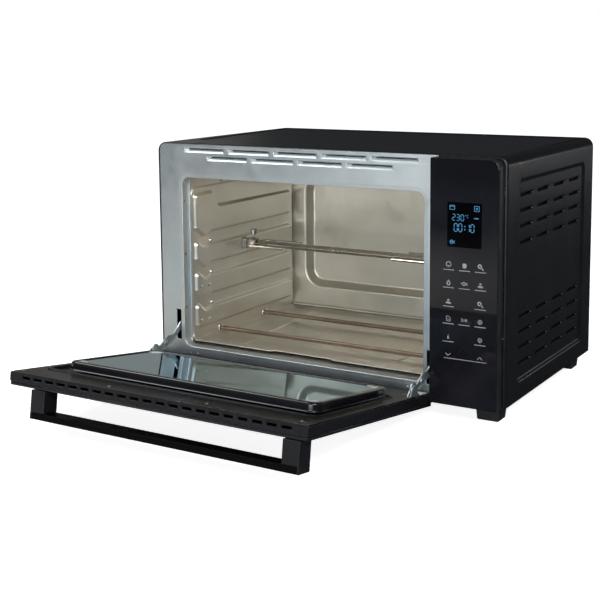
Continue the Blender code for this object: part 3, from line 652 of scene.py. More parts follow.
def side_field():
    """The sunk field on each side with its eight rows of vent slots."""
    columns = spread(0.0513, 0.2868, 4, 0.045)
    rows = (0.047, 0.068, 0.0889, 0.1095, 0.2073, 0.229, 0.2492, 0.2697)
    slots = [pocket(box_shape(y, (z - 0.0017, z + 0.0017), 0.0016)) for y in columns for z in rows]
    return emboss(box_shape((0.0385, 0.303), (0.0225, 0.292), 0.012), 0.006, -0.003, slots)


def pocket(shape):
    """A vent slot with a sloping lip all round that turns inward."""
    front = [(shape(0.001), 0.0), (shape(0.0008), -0.0002), (shape(0.0002), -0.0012), (shape(0.0), -0.0016),
             (shape(-0.0002), -0.0026)]
    return {"front": front, "back": [(shape(0.0012), -SHEET), (shape(0.0006), -0.0028)], "inner": None}


def build_vent_shade_sheets():
    """Dark sheets close behind the side vents: painted shade that stands for the dark inside of the casing, so
    that no light passes through the casing.
    """
    for side, put in (("left", facing_left(0.0088)), ("right", facing_right(CASING_W - 0.0088))):
        shape = box_shape((0.044, 0.296), (0.032, 0.284), 0.004)
        stiffener = emboss(box_shape((0.06, 0.28), (0.15, 0.18), 0.006), 0.003, -0.0008, (), 4, 0.0008)
        # Painted shade: this black sheet stands for the dark space behind the vents.
        shade_sheet = sheet(put, shape(0.0), [stiffener], 0.0008)
        add_piece(f"vent_shade_sheet_{side}", shade_sheet, RUBBER, "oven", angle=60.0)


def strip_faces(bm, one, other, left_out=()):
    """Faces between two open rows of points."""
    for i in range(len(one) - 1):
        if i not in left_out:
            bm.faces.new((one[i], one[i + 1], other[i + 1], other[i]))


def casing_row(bm, y, inset, top_inset):
    return [bm.verts.new((x, y, z)) for x, z in casing_profile(inset, top_inset)]


def casing_flat(bm, put, outline, feature):
    """One flat of the wrap, inside and outside, with its pressed field."""
    ends = [area(bm, put, outline, ring(bm, outline, height, put), [feature], 0.0, side)
            for side, height in (("front", 0.0), ("back", -SHEET))]
    for one, other in zip(*ends):
        bridge(bm, one, other)


def build_casing():
    """The wrap: a thick rolled rim at its front, two round bends, three flats and a cut edge at the back."""
    bm = bmesh.new()
    rim = ((CASING_FRONT_Y, 0.0, 0.0), (0.0011, 0.0003, 0.0003), (0.0002, 0.001, 0.0009),
           (-0.0004, 0.0018, 0.0013), (-0.0005, RIM_SIDE, RIM_TOP), (0.0008, RIM_SIDE, RIM_TOP),
           (INNER_FRONT_Y, SHEET, SHEET))
    rows = [casing_row(bm, *step) for step in rim]
    for one, other in zip(rows, rows[1:]):
        strip_faces(bm, one, other)
    flats = (0, ARC_STEPS + 1, 2 * ARC_STEPS + 2)
    for y, inset in ((CASING_FRONT_Y, 0.0), (INNER_FRONT_Y, SHEET)):
        strip_faces(bm, casing_row(bm, y, inset, inset), casing_row(bm, CASING_D, inset, inset), flats)
    upright = rectangle((CASING_FRONT_Y, CASING_D), (0.0, CASING_H - CASING_ROUND))
    casing_flat(bm, facing_left(0.0), upright, side_field())
    casing_flat(bm, facing_right(CASING_W), upright, side_field())
    sunk_top = path_shape([(0.03, 0.055), (0.52, 0.055), (0.54, 0.3335), (0.011, 0.3335)], 0.012)
    top = rectangle((CASING_ROUND, CASING_W - CASING_ROUND), (CASING_FRONT_Y, CASING_D))
    casing_flat(bm, facing_up(CASING_H), top, emboss(sunk_top, 0.004, -0.0014))
    strip_faces(bm, *(casing_row(bm, CASING_D, inset, inset) for inset in (0.0, SHEET)))
    add_piece("casing_shell", bm, BLACK, "oven", replaces=["outer_casing"], angle=50.0)


def add_screws(name, put, places, material, body, space=OVEN, size=0.0032):
    """Pan-head screws with a recess in each head; put faces out of the sheet."""
    profile = [(size * 0.5, -0.0006), (size, -0.0006), (size, 0.0003), (size * 0.9, 0.0008),
               (size * 0.6, 0.0012), (size * 0.42, 0.0013), (size * 0.3, 0.0006), (size * 0.05, 0.0003)]
    bm = bmesh.new()
    for place in places:
        turned(put, place, profile, 16, bm=bm)
    add_piece(name, bm, material, body, space, angle=50.0)


def build_rear_cover():
    x, y, z = extent("rear_cover")
    level = y[1] - 0.008
    slots = [hole(box_shape((x0, x1), (z0, z0 + 0.006), 0.0028), 0.0006) for z0 in (0.215, 0.235, 0.255)
             for x0, x1 in spread(0.445, 0.525, 2, 0.034)]
    ribs = [emboss(box_shape((0.09, 0.39), (z0, z0 + 0.016), 0.0078), 0.0035, -0.0022)
            for z0 in (0.095, 0.135, 0.175, 0.215)]
    dish = emboss(box_shape((0.06, 0.42), (0.05, 0.27), 0.03), 0.012, 0.0078, ribs)
    cover = sheet(facing_back(level), rounded(x, z, 0.013), [dish, *slots])
    add_piece("rear_panel", cover, BLACK, "oven", replaces=["rear_cover"], bevel=0.0003, angle=50.0)
    places = [(a, b) for a in (0.02, 0.275, 0.53) for b in (0.018, 0.306)]
    places += [(0.02, 0.16), (0.53, 0.16)]
    add_screws("rear_screws", facing_back(level), places, DARK, "oven")


def build_base_plate():
    x, y, z = extent("base_plate")
    vents = [hole(box_shape((x0, x1), (y0, y0 + 0.004), 0.0019), 0.0005) for y0 in (0.1, 0.13, 0.2, 0.23)
             for x0, x1 in spread(0.1, 0.45, 5, 0.05)]
    ribs = [emboss(box_shape((0.06, 0.49), (y0, y0 + 0.018), 0.0088), 0.004, 0.001)
            for y0 in (0.052, 0.16, 0.272)]
    plate = sheet(facing_down(z[0]), rounded(x, y), [*vents, *ribs])
    add_piece("base_sheet", plate, BLACK, "oven", replaces=["base_plate"], bevel=0.0003, angle=50.0)


def build_feet():
    """Each foot: a tapered block with a stepped sole, a collar and a recess in its middle."""
    for end in ("front", "rear"):
        for side in ("left", "right"):
            name = f"foot_{end}_{side}"
            x, y, z = extent(name)
            shape = box_shape(x, y, 0.004)
            depth = z[1] - z[0]
            sections = [(shape(-0.0006), 0.0), (shape(0.0), -0.0006), (shape(-0.0001), -0.003),
                        (shape(-0.0007), -0.0034), (shape(-0.0007), -0.0042), (shape(-0.0003), -0.0046),
                        (shape(-0.0018), -depth + 0.0012), (shape(-0.003), -depth), (shape(-0.008), -depth),
                        (shape(-0.0088), -depth + 0.0014)]
            block = loft(facing_up(z[1]), sections)
            add_piece(f"{name}_block", block, RUBBER, "oven", replaces=[name], angle=40.0)


# Front frame

def louvre(x, z):
    """A pressed vent: steep bright slopes at its foot and left end, and a dark slit under its upper edge."""
    def at(left, right, low, high):
        return rounded((x[0] + left, x[1] - right), (z + low, z + high), 0.0006, steps=3)
    front = [(at(-0.0006, -0.0004, -0.0038, 0.0034), 0.0), (at(-0.0002, 0.0, -0.0035, 0.0032), -0.0003),
             (at(0.0012, 0.001, -0.0022, 0.0028), -0.0014), (at(0.0028, 0.0022, -0.0007, 0.0024), -0.0027),
             (at(0.0042, 0.0034, 0.0003, 0.0021), -0.0037), (at(0.005, 0.0042, 0.0009, 0.0018), -0.0042)]
    return {"front": front, "back": [(line, h - SHEET) for line, h in front], "inner": None}


def opening_flange():
    """The folded edge of the oven's mouth, with a shallow step around it and a bead at its far end."""
    shape = box_shape(OPENING_X, OPENING_Z, OPENING_ROUND, 8)
    depth = FLANGE_D
    front = [(0.0057, 0.0), (0.0052, -0.00005), (0.0046, -0.00015), (0.004, -0.0002), (0.0009, -0.0002),
             (0.0004, -0.0004), (0.0001, -0.0007), (0.0, -0.0012), (0.0, 0.0026 - depth),
             (-0.0003, 0.0018 - depth), (-0.0004, 0.001 - depth), (-0.0003, 0.0003 - depth), (0.0, -depth)]
    back = [(0.0057, -SHEET), (0.004, -0.0002 - SHEET), (0.003, -0.0002 - SHEET), (0.0014, -0.0034),
            (0.0012, -depth)]
    front, back = ([(shape(g), h) for g, h in part] for part in (front, back))
    return {"front": front, "back": back, "inner": None}


UPPER_LOUVRES = (0.0499, 0.4265, 5, 0.0687)
LOWER_LOUVRES = (0.0894, 0.3893, 4, 0.0686)
UPPER_LOUVRE_Z = 0.3134
LOWER_LOUVRE_Z = 0.3024
SLOT_LEFT = ((0.0285, 0.0365), (0.0285, 0.074))
SLOT_RIGHT = ((0.44, 0.448), (0.0175, 0.063))
PANEL_X = 0.455


def build_front_frame():
    """The galvanised plate. Behind the control panel its top edge stays lower, out of sight."""
    features = [opening_flange()]
    features += [louvre(x, UPPER_LOUVRE_Z) for x in spread(*UPPER_LOUVRES)]
    features += [louvre(x, LOWER_LOUVRE_Z) for x in spread(*LOWER_LOUVRES)]
    features += [hole(box_shape(*slot, 0.0008, 2), 0.0005) for slot in (SLOT_LEFT, SLOT_RIGHT)]
    left, high = RIM_SIDE + 0.0001, CASING_H - RIM_TOP - 0.0001
    right, low, panel_high = FRAME[0][1], FRAME[2][0], FRAME[2][1] - 0.002
    corners = [(left, low), (right, low), (right, panel_high), (PANEL_X, panel_high), (PANEL_X, high),
               (left, high)]
    outline = path_shape(corners, [0.003, 0.003, 0.009, 0.0005, 0.0005, 0.0094])(0.0)
    plate = sheet(facing_front(0.0), outline, features)
    add_piece("front_plate", plate, STEEL, "oven", replaces=["front_frame"], angle=50.0)
    studs = bmesh.new()
    stud = [(0.0016, -0.0004), (0.0016, 0.0003), (0.0011, 0.0007), (0.0003, 0.0009)]
    for place in ((0.053, 0.0095), (0.066, 0.01), (0.412, 0.0095), (0.424, 0.01)):
        turned(facing_front(0.0), place, stud, 14, bm=studs)
    add_piece("frame_studs", studs, STEEL, "oven", angle=50.0)
    rivets = bmesh.new()
    rivet = [(0.0021, -0.0003), (0.0021, 0.0003), (0.0016, 0.0007), (0.0005, 0.0009)]
    for put in (facing_right(OPENING_X[0]), facing_left(OPENING_X[1])):
        for z in (0.2372, 0.1578, 0.0775):
            turned(put, (0.0052, z), rivet, 16, bm=rivets)
    add_piece("flange_rivets", rivets, RIVET, "oven", angle=50.0)


# Cavity

PANEL_FRONT_Y = 0.0185
PANEL_BACK_Y = 0.292
PANELS_Z = ((0.183, 0.225), (0.1355, 0.169), (0.0875, 0.1225), (0.0405, 0.074))
FIELD_RISE = 0.0016
WALL_SHEET = 0.001


def wall_outline(index, z0, z1):
    """A pressed panel of the side wall: cut low front corner, and a dip in its top where a rack comes in."""
    y0, y1 = PANEL_FRONT_Y, PANEL_BACK_Y
    if index == 3:
        low = [(y0, z0 + 0.006), (y0 + 0.008, z0), (y1, z0)]
    else:
        low = [(y0, z0 + 0.01), (y0 + 0.022, z0 - 0.0045), (y0 + 0.031, z0 - 0.0045), (y0 + 0.042, z0),
               (y1, z0)]
    if index == 0:
        high = [(y1, z1), (y0 + 0.062, z1), (y0 + 0.048, z1 + 0.023), (y0, z1 + 0.0215)]
    else:
        high = [(y1, z1), (y0 + 0.042, z1 - 0.001), (y0 + 0.033, z1 - 0.0045), (y0 + 0.024, z1 - 0.0045),
                (y0 + 0.012, z1 + 0.005), (y0, z1 + 0.005)]
    return low + high


def wall_features(extras):
    features = []
    for index, (z0, z1) in enumerate(PANELS_Z):
        outline = path_shape(wall_outline(index, z0, z1), 0.0075, 5)
        features.append(emboss(outline, 0.0052, 0.005, extras[index], 8, WALL_SHEET))
    return features


def middle(node):
    """A node's middle across a side wall, along y and z."""
    return [sum(span) / 2 for span in extent(node)[1:]]


def raised(put, level):
    return lambda a, b, h: put(a, b, h + level)


def right_wall_openings():
    """The openings in each of the right wall's panels: fan vents, lamp, probe and drive."""
    vents = spread(0.186, 0.278, 8, 0.005)
    rows = [[hole(box_shape(span, z, 0.0023, 3), 0.0004, WALL_SHEET) for span in vents]
            for z in ((0.19, 0.2175), (0.143, 0.1605))]
    lamp = hole(disc_shape(*middle("lamp_lens"), 0.015), 0.0004, WALL_SHEET)
    probe = hole(disc_shape(*middle("temperature_probe"), 0.003, 14), 0.0003, WALL_SHEET)
    drive = hole(disc_shape(*middle("drive_socket"), 0.009), 0.0003, WALL_SHEET)
    return [*rows[0], lamp, probe], [*rows[1], drive], [], []


def build_side_walls():
    _, y, z = extent("liner_left")
    low_holes, high_holes = ([hole(disc_shape(*middle(f"heater_{level}_{end}"), 0.004, 16), 0.0004,
                                   WALL_SHEET) for end in ("front", "rear")] for level in ("bottom", "top"))
    field = box_shape((0.015, 0.2992), (0.0222, 0.2562), 0.014, 8)
    for name, put, extras in (("left", facing_right(WALL_LEFT_X), ([], [], [], [])),
                              ("right", facing_left(WALL_RIGHT_X), right_wall_openings())):
        inner = [*low_holes, *wall_features(extras)]
        stamped = emboss(field, 0.0026, FIELD_RISE, inner, 6, WALL_SHEET)
        wall = sheet(put, rounded(y, z), [stamped, *high_holes], WALL_SHEET)
        add_piece(f"side_wall_{name}", wall, LINER, "oven", replaces=[f"liner_{name}"], angle=60.0)
        build_wall_pips(name, raised(put, FIELD_RISE))


def build_wall_returns():
    """The side walls' folded front edges, which close the gap to the mouth's flange."""
    bm = bmesh.new()
    z = (0.02, 0.2725)
    for x in ((OPENING_X[0] - 0.001, WALL_LEFT_X + 0.0004), (WALL_RIGHT_X - 0.0004, OPENING_X[1] + 0.001)):
        slab(facing_front(FLANGE_D + 0.0002), box_shape(x, z, 0.0008, 3), 0.0008, 0.0003, bm)
    add_piece("wall_returns", bm, STEEL, "oven", angle=60.0)


def build_wall_pips(name, put):
    """Small pressed domes in the rack guides and curled rack stops on the lower panels."""
    bm = bmesh.new()
    for b in (0.1708, 0.1226, 0.0752):
        dome = [(0.0031, -0.001), (0.003, 0.001), (0.0026, 0.0024), (0.0018, 0.0034), (0.0007, 0.0039)]
        turned(put, (0.061, b), dome, 18, bm=bm)
    for a, b in ((0.0295, 0.1052), (0.05, 0.1042), (0.0285, 0.0532), (0.049, 0.0524)):
        path = smooth_path([put(a - 0.0026, b + 0.0016, 0.0049), put(a - 0.0012, b - 0.0006, 0.0058),
                            put(a + 0.0008, b - 0.0008, 0.0062), put(a + 0.0022, b + 0.0012, 0.0056)], 4)
        swept(path, 0.0007, 8, bm)
    add_piece(f"wall_pips_{name}", bm, BRIGHT, "oven", angle=50.0)


def build_back_wall():
    x, _, z = extent("liner_back")
    panel = box_shape((x[0] + 0.024, x[1] - 0.024), (0.059, 0.25), 0.03, 10)
    recess = emboss(panel, 0.0125, -0.014, (), 10, WALL_SHEET)
    back = sheet(facing_front(BACK_Y), rounded(x, z), [recess], WALL_SHEET)
    add_piece("back_wall", back, LINER, "oven", replaces=["liner_back"], angle=60.0)


def build_back_lip():
    """A rolled ledge across the foot of the back wall, above the tray's rear rim."""
    profile = [(BACK_Y - depth, z) for depth, z in ((0.0004, 0.0302), (0.003, 0.03), (0.0046, 0.0288),
                                                    (0.005, 0.0274), (0.0044, 0.0266), (0.0004, 0.0266))]
    length = WALL_RIGHT_X - WALL_LEFT_X - 0.006
    bm = slab(facing_right(WALL_RIGHT_X - 0.003), path_shape(profile, 0.0008, 3), length, 0.0003)
    add_piece("back_lip", bm, LINER, "oven", angle=60.0)


def build_roof():
    x, y, z = extent("liner_top")
    ridge = emboss(box_shape((0.1, 0.38), (0.08, 0.24), 0.02), 0.006, -0.003, (), 6, WALL_SHEET)
    roof = sheet(facing_down(z[0]), rounded(x, y), [ridge], WALL_SHEET)
    add_piece("roof_sheet", roof, LINER, "oven", replaces=["liner_top"], angle=60.0)


def tray_creases(centre):
    """A fine groove and a broad ridge on each side of the tray, slanting towards its middle."""
    creases = []
    for way in (-1, 1):
        for line, radius, steps, form in (
                (((0.082, 0.044), (0.0845, 0.044), (0.0655, 0.28), (0.063, 0.28)), 0.0008, 2,
                 (0.0009, -0.0005, (), 3, 0.0007)),
                (((0.115, 0.04), (0.125, 0.04), (0.102, 0.28), (0.092, 0.28)), 0.004, 3,
                 (0.004, 0.0016, (), 6, 0.0008))):
            outline = [(centre + way * (centre - a), b) for a, b in line][::-way]
            creases.append(emboss(path_shape(outline, radius, steps), *form))
    return creases


def build_tray():
    """The crumb tray: a pan with a rolled lip, a finger notch and slanting creases."""
    x, y, z = extent("crumb_tray")
    top, floor = z[1], z[0] + 0.0018
    notch = [(x[0], y[0]), (0.182, y[0]), (0.187, y[0] + 0.0055), (0.281, y[0] + 0.0055), (0.286, y[0]),
             (x[1], y[0]), (x[1], y[1]), (x[0], y[1])]
    shape = path_shape(notch, 0.0026, 4)
    bm = bmesh.new()
    upper = [(0.0, top - 0.0004), (-0.0004, top), (-0.0026, top), (-0.004, top - 0.0004),
             (-0.01, floor + 0.0005), (-0.012, floor)]
    lower = [(0.0, top - 0.001), (-0.0034, top - 0.0008), (-0.012, floor - 0.0007)]
    sides = [[ring(bm, shape(g), h, facing_up(0.0)) for g, h in part] for part in (upper, lower)]
    for rings in sides:
        for one, other in zip(rings, rings[1:]):
            bridge(bm, one, other)
    bridge(bm, sides[0][0], sides[1][0])
    creases = tray_creases((x[0] + x[1]) / 2)
    for rings, side in zip(sides, ("front", "back")):
        area(bm, facing_up(floor), shape(-0.012), rings[-1], creases, 0.0, side)
    add_piece("tray_pan", bm, LINER, "tray", replaces=["crumb_tray"], angle=60.0)


def build_floor_lip():
    """The folded front edge of the cavity floor, under the tray's lip."""
    points = [(x, 0.015, 0.0191) for x in (WALL_LEFT_X + 0.002, WALL_RIGHT_X - 0.002)]
    add_piece("floor_lip", swept(points, 0.0006, 8), STEEL, "oven", angle=60.0)


def build_heaters():
    """Each element: a sheathed rod with thinner ends, and a collar on each wall."""
    for name in ("bottom_front", "bottom_rear", "top_front", "top_rear"):
        x, y, z = extent(f"heater_{name}")
        centre = (sum(y) / 2, sum(z) / 2)
        radius = (y[1] - y[0]) / 2
        end = ((0.0012, 0.0), (0.0015, 0.0006), (0.0015, 0.01), (radius * 0.9, 0.0104), (radius, 0.0112))
        profile = [(r, x[0] + h) for r, h in end] + [(r, x[1] - h) for r, h in end[::-1]]
        rod = turned(facing_right(0.0), centre, profile, 20)
        add_piece(f"element_{name}", rod, ELEMENT, "oven", replaces=[f"heater_{name}"], angle=50.0)
        clips = bmesh.new()
        for put in (facing_right(WALL_LEFT_X), facing_left(WALL_RIGHT_X)):
            low = FIELD_RISE if centre[1] < 0.1 else 0.0
            collar = [(radius + 0.0004, low + 0.0002), (radius + 0.0028, low + 0.0002),
                      (radius + 0.0028, low + 0.0012), (radius + 0.0016, low + 0.0022),
                      (radius + 0.0004, low + 0.0022)]
            turned(put, centre, collar, 20, True, clips)
        add_piece(f"element_collars_{name}", clips, BRIGHT, "oven", angle=50.0)


# Rotisserie

def build_spit_support():
    """A small bracket on the left wall with an open hook that carries the end of the spit."""
    y, z = middle("spit_rod")
    x = extent("spit_support")[0]
    plate = box_shape((y - 0.007, y + 0.007), (z - 0.01, z + 0.008), 0.002)
    foot = slab(facing_right(x[0] + 0.0012), plate, 0.001, 0.0003)
    hook = [(y + a, z + b) for a, b in ((-0.0084, 0.006), (-0.0084, -0.0086), (0.0084, -0.0086),
                                        (0.0084, 0.006), (0.0066, 0.006), (0.0066, -0.0066),
                                        (-0.0066, -0.0066), (-0.0066, 0.006))]
    slab(facing_right(x[1]), path_shape(hook, 0.0008, 3), x[1] - x[0] - 0.0014, 0.0003, foot)
    add_piece("spit_cradle", foot, BRIGHT, "oven", replaces=["spit_support"], angle=50.0)
    add_screws("spit_cradle_screw", facing_right(x[0] + 0.0012), [(y, z - 0.0084)], BRIGHT, "oven",
               size=0.0012)


# Control panel

def segment_digit(bm, put, a, b, width, height, digit, stroke):
    """A seven-segment digit whose lower left corner is at (a, b)."""
    on = {"0": "abcdef", "1": "bc", "2": "abged", "3": "abgcd", "C": "afed"}[digit]
    half = height / 2
    bars = {"a": ((0, height), (width, height)), "b": ((width, half), (width, height)),
            "c": ((width, 0), (width, half)), "d": ((0, 0), (width, 0)), "e": ((0, 0), (0, half)),
            "f": ((0, half), (0, height)), "g": ((0, half), (width, half))}
    for key in on:
        (a0, b0), (a1, b1) = bars[key]
        gap = stroke * 0.55
        if a0 == a1:
            span = ((a + a0 - stroke / 2, a + a0 + stroke / 2), (b + b0 + gap, b + b1 - gap))
        else:
            span = ((a + a0 + gap, a + a1 - gap), (b + b0 - stroke / 2, b + b0 + stroke / 2))
        slab(put, box_shape(*span, stroke * 0.45, 2), 0.00012, 0.00003, bm)


def ring_mark(bm, put, a, b, outer, inner, steps=18):
    """A flat ring printed or lit on the glass."""
    loft(put, [(circle(a, b, outer, steps), -0.0001), (circle(a, b, outer, steps), 0.0),
               (circle(a, b, inner, steps), 0.0), (circle(a, b, inner, steps), -0.0001)], True, bm)


def bar_mark(bm, put, a, b, radius=0.0002):
    slab(put, box_shape(a, b, radius, 2), 0.0001, 0.00003, bm)


def stroke_mark(bm, put, points, width=0.0008):
    """A short polyline printed on the glass."""
    for (a0, b0), (a1, b1) in zip(points, points[1:]):
        along = Vector((a1 - a0, b1 - b0)).normalized() * width / 2
        side = Vector((-along.y, along.x))
        start, end = Vector((a0, b0)) - along, Vector((a1, b1)) + along
        corners = [start + side, start - side, end - side, end + side]
        slab(put, path_shape(corners, width * 0.4, 2), 0.0001, 0.00003, bm)


def build_display(face):
    x, _, z = extent("display_module")
    window = slab(facing_front(face - 0.00004), box_shape(x, z, 0.0015), 0.0001, 0.00003)
    add_piece("display_window", window, SCREEN, "oven", angle=60.0)
    put = facing_front(face - 0.00016)
    bm = bmesh.new()
    left, top = x[0], z[1]
    for i, digit in enumerate("230"):
        segment_digit(bm, put, left + 0.007 + 0.0058 * i, top - 0.0232, 0.0038, 0.0078, digit, 0.0009)
    ring_mark(bm, put, left + 0.0252, top - 0.0162, 0.0008, 0.0004, 10)
    segment_digit(bm, put, left + 0.0272, top - 0.019, 0.0018, 0.0034, "C", 0.0006)
    for a, digit in zip((0.0095, 0.0157, 0.0259, 0.0321), "0010"):
        segment_digit(bm, put, left + a, top - 0.0371, 0.0044, 0.01, digit, 0.0011)
    for b in (top - 0.0302, top - 0.0342):
        bar_mark(bm, put, (left + 0.0234, left + 0.0246), (b - 0.0009, b + 0.0009), 0.0003)
    frame_marks(bm, put, left, x[1], top, z[0])
    add_piece("display_digits", bm, GLOW, "oven", angle=60.0)


def frame_marks(bm, put, left, right, top, bottom):
    """The small symbols in the display's corners."""
    a, b = left + 0.0068, top - 0.0069
    edges = (((0.0036, 0.003), 0.001), ((0.0029, 0.0023), 0.0006))
    outer, inner = [rounded((a - w, a + w), (b - h, b + h), radius, 0, 3) for (w, h), radius in edges]
    loft(put, [(outer, -0.0001), (outer, 0.0), (inner, 0.0), (inner, -0.0001)], True, bm)
    bar_mark(bm, put, (a - 0.003, a + 0.003), (b + 0.001, b + 0.0017), 0.0002)
    a = right - 0.0068
    outer, inner = [rounded((a - w, a + w), (b - w, b + w), 0.0012, 0, 4) for w in (0.0036, 0.003)]
    loft(put, [(outer, -0.0001), (outer, 0.0), (inner, 0.0), (inner, -0.0001)], True, bm)
    for i in range(4):
        turn = math.pi * (i / 2 + 0.25)
        stroke_mark(bm, put, [(a, b), (a + 0.0018 * math.cos(turn), b + 0.0018 * math.sin(turn))], 0.0008)
    a, b = right - 0.0074, top - 0.0192
    stroke_mark(bm, put, [(a - 0.003, b), (a, b + 0.0006), (a + 0.003, b)], 0.0007)
    stroke_mark(bm, put, [(a - 0.003, b), (a, b - 0.0006), (a + 0.003, b)], 0.0007)
    a, b = left + 0.0062, bottom + 0.0066
    ring_mark(bm, put, a, b, 0.0026, 0.0018)
    stroke_mark(bm, put, [(a - 0.0012, b), (a + 0.0012, b + 0.0004)], 0.001)
    stroke_mark(bm, put, [(a + 0.0026, b), (a + 0.004, b + 0.0014)], 0.0009)
    stroke_mark(bm, put, [(a + 0.0026, b), (a + 0.004, b - 0.0014)], 0.0009)


ICONS = {
    "dome": [("ring", 0.0, 0.0006, 0.0038, 0.0027), ("bar", -0.0022, 0.0022, -0.0026, -0.0008, 0.0008)],
    "loaf": [("bar", -0.0028, 0.0028, -0.003, 0.0032, 0.0016)],
    "leg": [("ring", -0.001, 0.001, 0.003, 0.0012),
            ("line", 0.0016, (0.001, -0.0008), (0.0036, -0.003))],
    "drop": [("ring", 0.0, -0.0008, 0.0028, 0.0014),
             ("line", 0.0009, (-0.0018, 0.001), (0.0, 0.0036), (0.0018, 0.001))],
    "fish": [("ring", -0.0006, 0.0, 0.0026, 0.0012), ("line", 0.001, (-0.0046, 0.0004), (-0.0026, 0.0)),
             ("line", 0.001, (0.002, 0.0), (0.0042, 0.0014)),
             ("line", 0.001, (0.002, 0.0), (0.0042, -0.0014))],
    "cake": [("bar", -0.0036, 0.0036, -0.003, -0.0006, 0.001), ("ring", 0.0, 0.0016, 0.0015, 0.0004)],
    "sheet": [("line", 0.0008, (-0.0026, -0.003), (-0.0026, 0.0032), (0.001, 0.0032), (0.0028, 0.001),
               (0.0028, -0.003), (-0.0026, -0.003)),
              ("line", 0.0007, (-0.0014, -0.0006), (0.0014, -0.0006))],
    "start": [("line", 0.0011, (-0.0036, 0.0018), (-0.0012, 0.0), (-0.0036, -0.0018)),
              ("line", 0.0005, (0.0, 0.0022), (0.0, -0.0022)), ("ring", 0.0028, 0.0, 0.0018, 0.0006)],
    "fan": [("ring", 0.0, 0.0, 0.003, 0.0022),
            *(("line", 0.0008, (0.0, 0.0), (0.002 * math.cos(t), 0.002 * math.sin(t)))
              for t in (0.4, 0.4 + 2 * math.pi / 3, 0.4 + 4 * math.pi / 3))],
    "lamp": [("line", 0.0012, (0.0, 0.003), (-0.0008, -0.0026)),
             ("line", 0.0012, (0.0, 0.003), (0.0008, -0.0026))],
    "down": [("line", 0.001, (-0.003, 0.0014), (0.0, -0.0016), (0.003, 0.0014))],
    "up": [("line", 0.001, (-0.003, -0.0014), (0.0, 0.0016), (0.003, -0.0014))],
}


def legend_icon(bm, put, kind, a, b):
    """One touch key's picture, about 7 mm across, around (a, b)."""
    for shape, *values in ICONS[kind]:
        if shape == "ring":
            da, db, outer, inner = values
            ring_mark(bm, put, a + da, b + db, outer, inner)
        elif shape == "bar":
            a0, a1, b0, b1, radius = values
            bar_mark(bm, put, (a + a0, a + a1), (b + b0, b + b1), radius)
        else:
            width, *points = values
            stroke_mark(bm, put, [(a + da, b + db) for da, db in points], width)


def build_legends(face):
    """Touch keys in three columns: pictures with a short bar under each."""
    put = facing_front(face - 0.00006)
    columns = (0.479, 0.5008, 0.5226)
    rows = ((0.1846, ("dome", "loaf", "leg")), (0.1615, ("drop", "fish", "cake")),
            (0.137, ("cake", None, "leg")), (0.1145, ("sheet", "start", "fan")),
            (0.091, ("lamp", None, "fan")), (0.0675, ("down", None, "up")))
    bm = bmesh.new()
    for b, kinds in rows:
        for a, kind in zip(columns, kinds):
            if kind is None:
                continue
            legend_icon(bm, put, kind, a, b)
            if kind not in ("down", "up"):
                bar_mark(bm, put, (a - 0.0076, a + 0.0076), (b - 0.007, b - 0.006))
    bar_mark(bm, put, (0.4735, 0.532), (0.0622, 0.0631))
    add_piece("key_legends", bm, LEGEND, "oven", angle=60.0)


def build_panel():
    x, y, z = extent("control_panel_glass")
    face = y[0]
    radii = [0.001, 0.001, 0.012, 0.001]
    glass = slab(facing_front(face), path_shape(rectangle(x, z), radii, 6), y[1] - face, 0.0006)
    add_piece("panel_glass", glass, GLOSS, "oven", replaces=["control_panel_glass"], angle=60.0)
    x, y, z = extent("control_panel_housing")
    shape = path_shape(rectangle(x, z), radii, 6)
    depth = y[1] - y[0]
    sections = [(shape(g), h) for g, h in ((-0.0022, 0.0), (-0.0006, 0.0), (0.0, -0.0006), (0.0, -0.0026),
                                           (-0.0004, -0.0028), (-0.0004, -0.0034), (0.0, -0.0036),
                                           (0.0, -depth), (-0.0022, -depth))]
    add_piece("panel_housing", loft(facing_front(y[0]), sections, True), PLASTIC, "oven",
              replaces=["control_panel_housing"], angle=50.0)
    build_display(face)
    build_legends(face)


def build_panel_seal():
    """A rubber strip that closes the gap between the panel's housing and the casing's rim."""
    right, high = CASING_W - SHEET - 0.0003, CASING_H - SHEET - 0.0003
    shape = path_shape(rectangle((PANEL_X + 0.001, right), (0.285, high)), [0.001, 0.001, 0.0115, 0.001], 6)
    add_piece("panel_seal", slab(facing_front(0.0032), shape, 0.0014, 0.0003), RUBBER, "oven", angle=50.0)


# Door, drawn closed

WINDOW_X, WINDOW_Y, WINDOW_Z = extent("window_frame", DOOR)
INNER_SHEET = 0.001
INNER_LEVEL = extent("door_inner_plate", DOOR)[1][1] - 0.0014
HANDLE_CAP = 0.0026


def build_door_glass():
    x, y, z = extent("door_outer_glass", DOOR)
    glass = slab(facing_front(y[0]), box_shape(x, z, 0.003), y[1] - y[0], 0.0008)
    add_piece("door_glass", glass, GLOSS, "door", DOOR, ["door_outer_glass"], angle=60.0)


def build_door_frame():
    """Side rails and a bottom rail behind the glass."""
    x, y, z = extent("door_frame", DOOR)
    stile = 0.013
    top = z[1]
    rail = [(x[0], z[0]), (x[1], z[0]), (x[1], top), (x[1] - stile, top), (x[1] - stile, z[0] + stile),
            (x[0] + stile, z[0] + stile), (x[0] + stile, top), (x[0], top)]
    bm = slab(facing_back(y[1]), path_shape(rail, 0.0006, 2), y[1] - y[0], 0.0007)
    add_piece("door_rails", bm, DOOR_BLACK, "door", DOOR, ["door_frame"], angle=50.0)


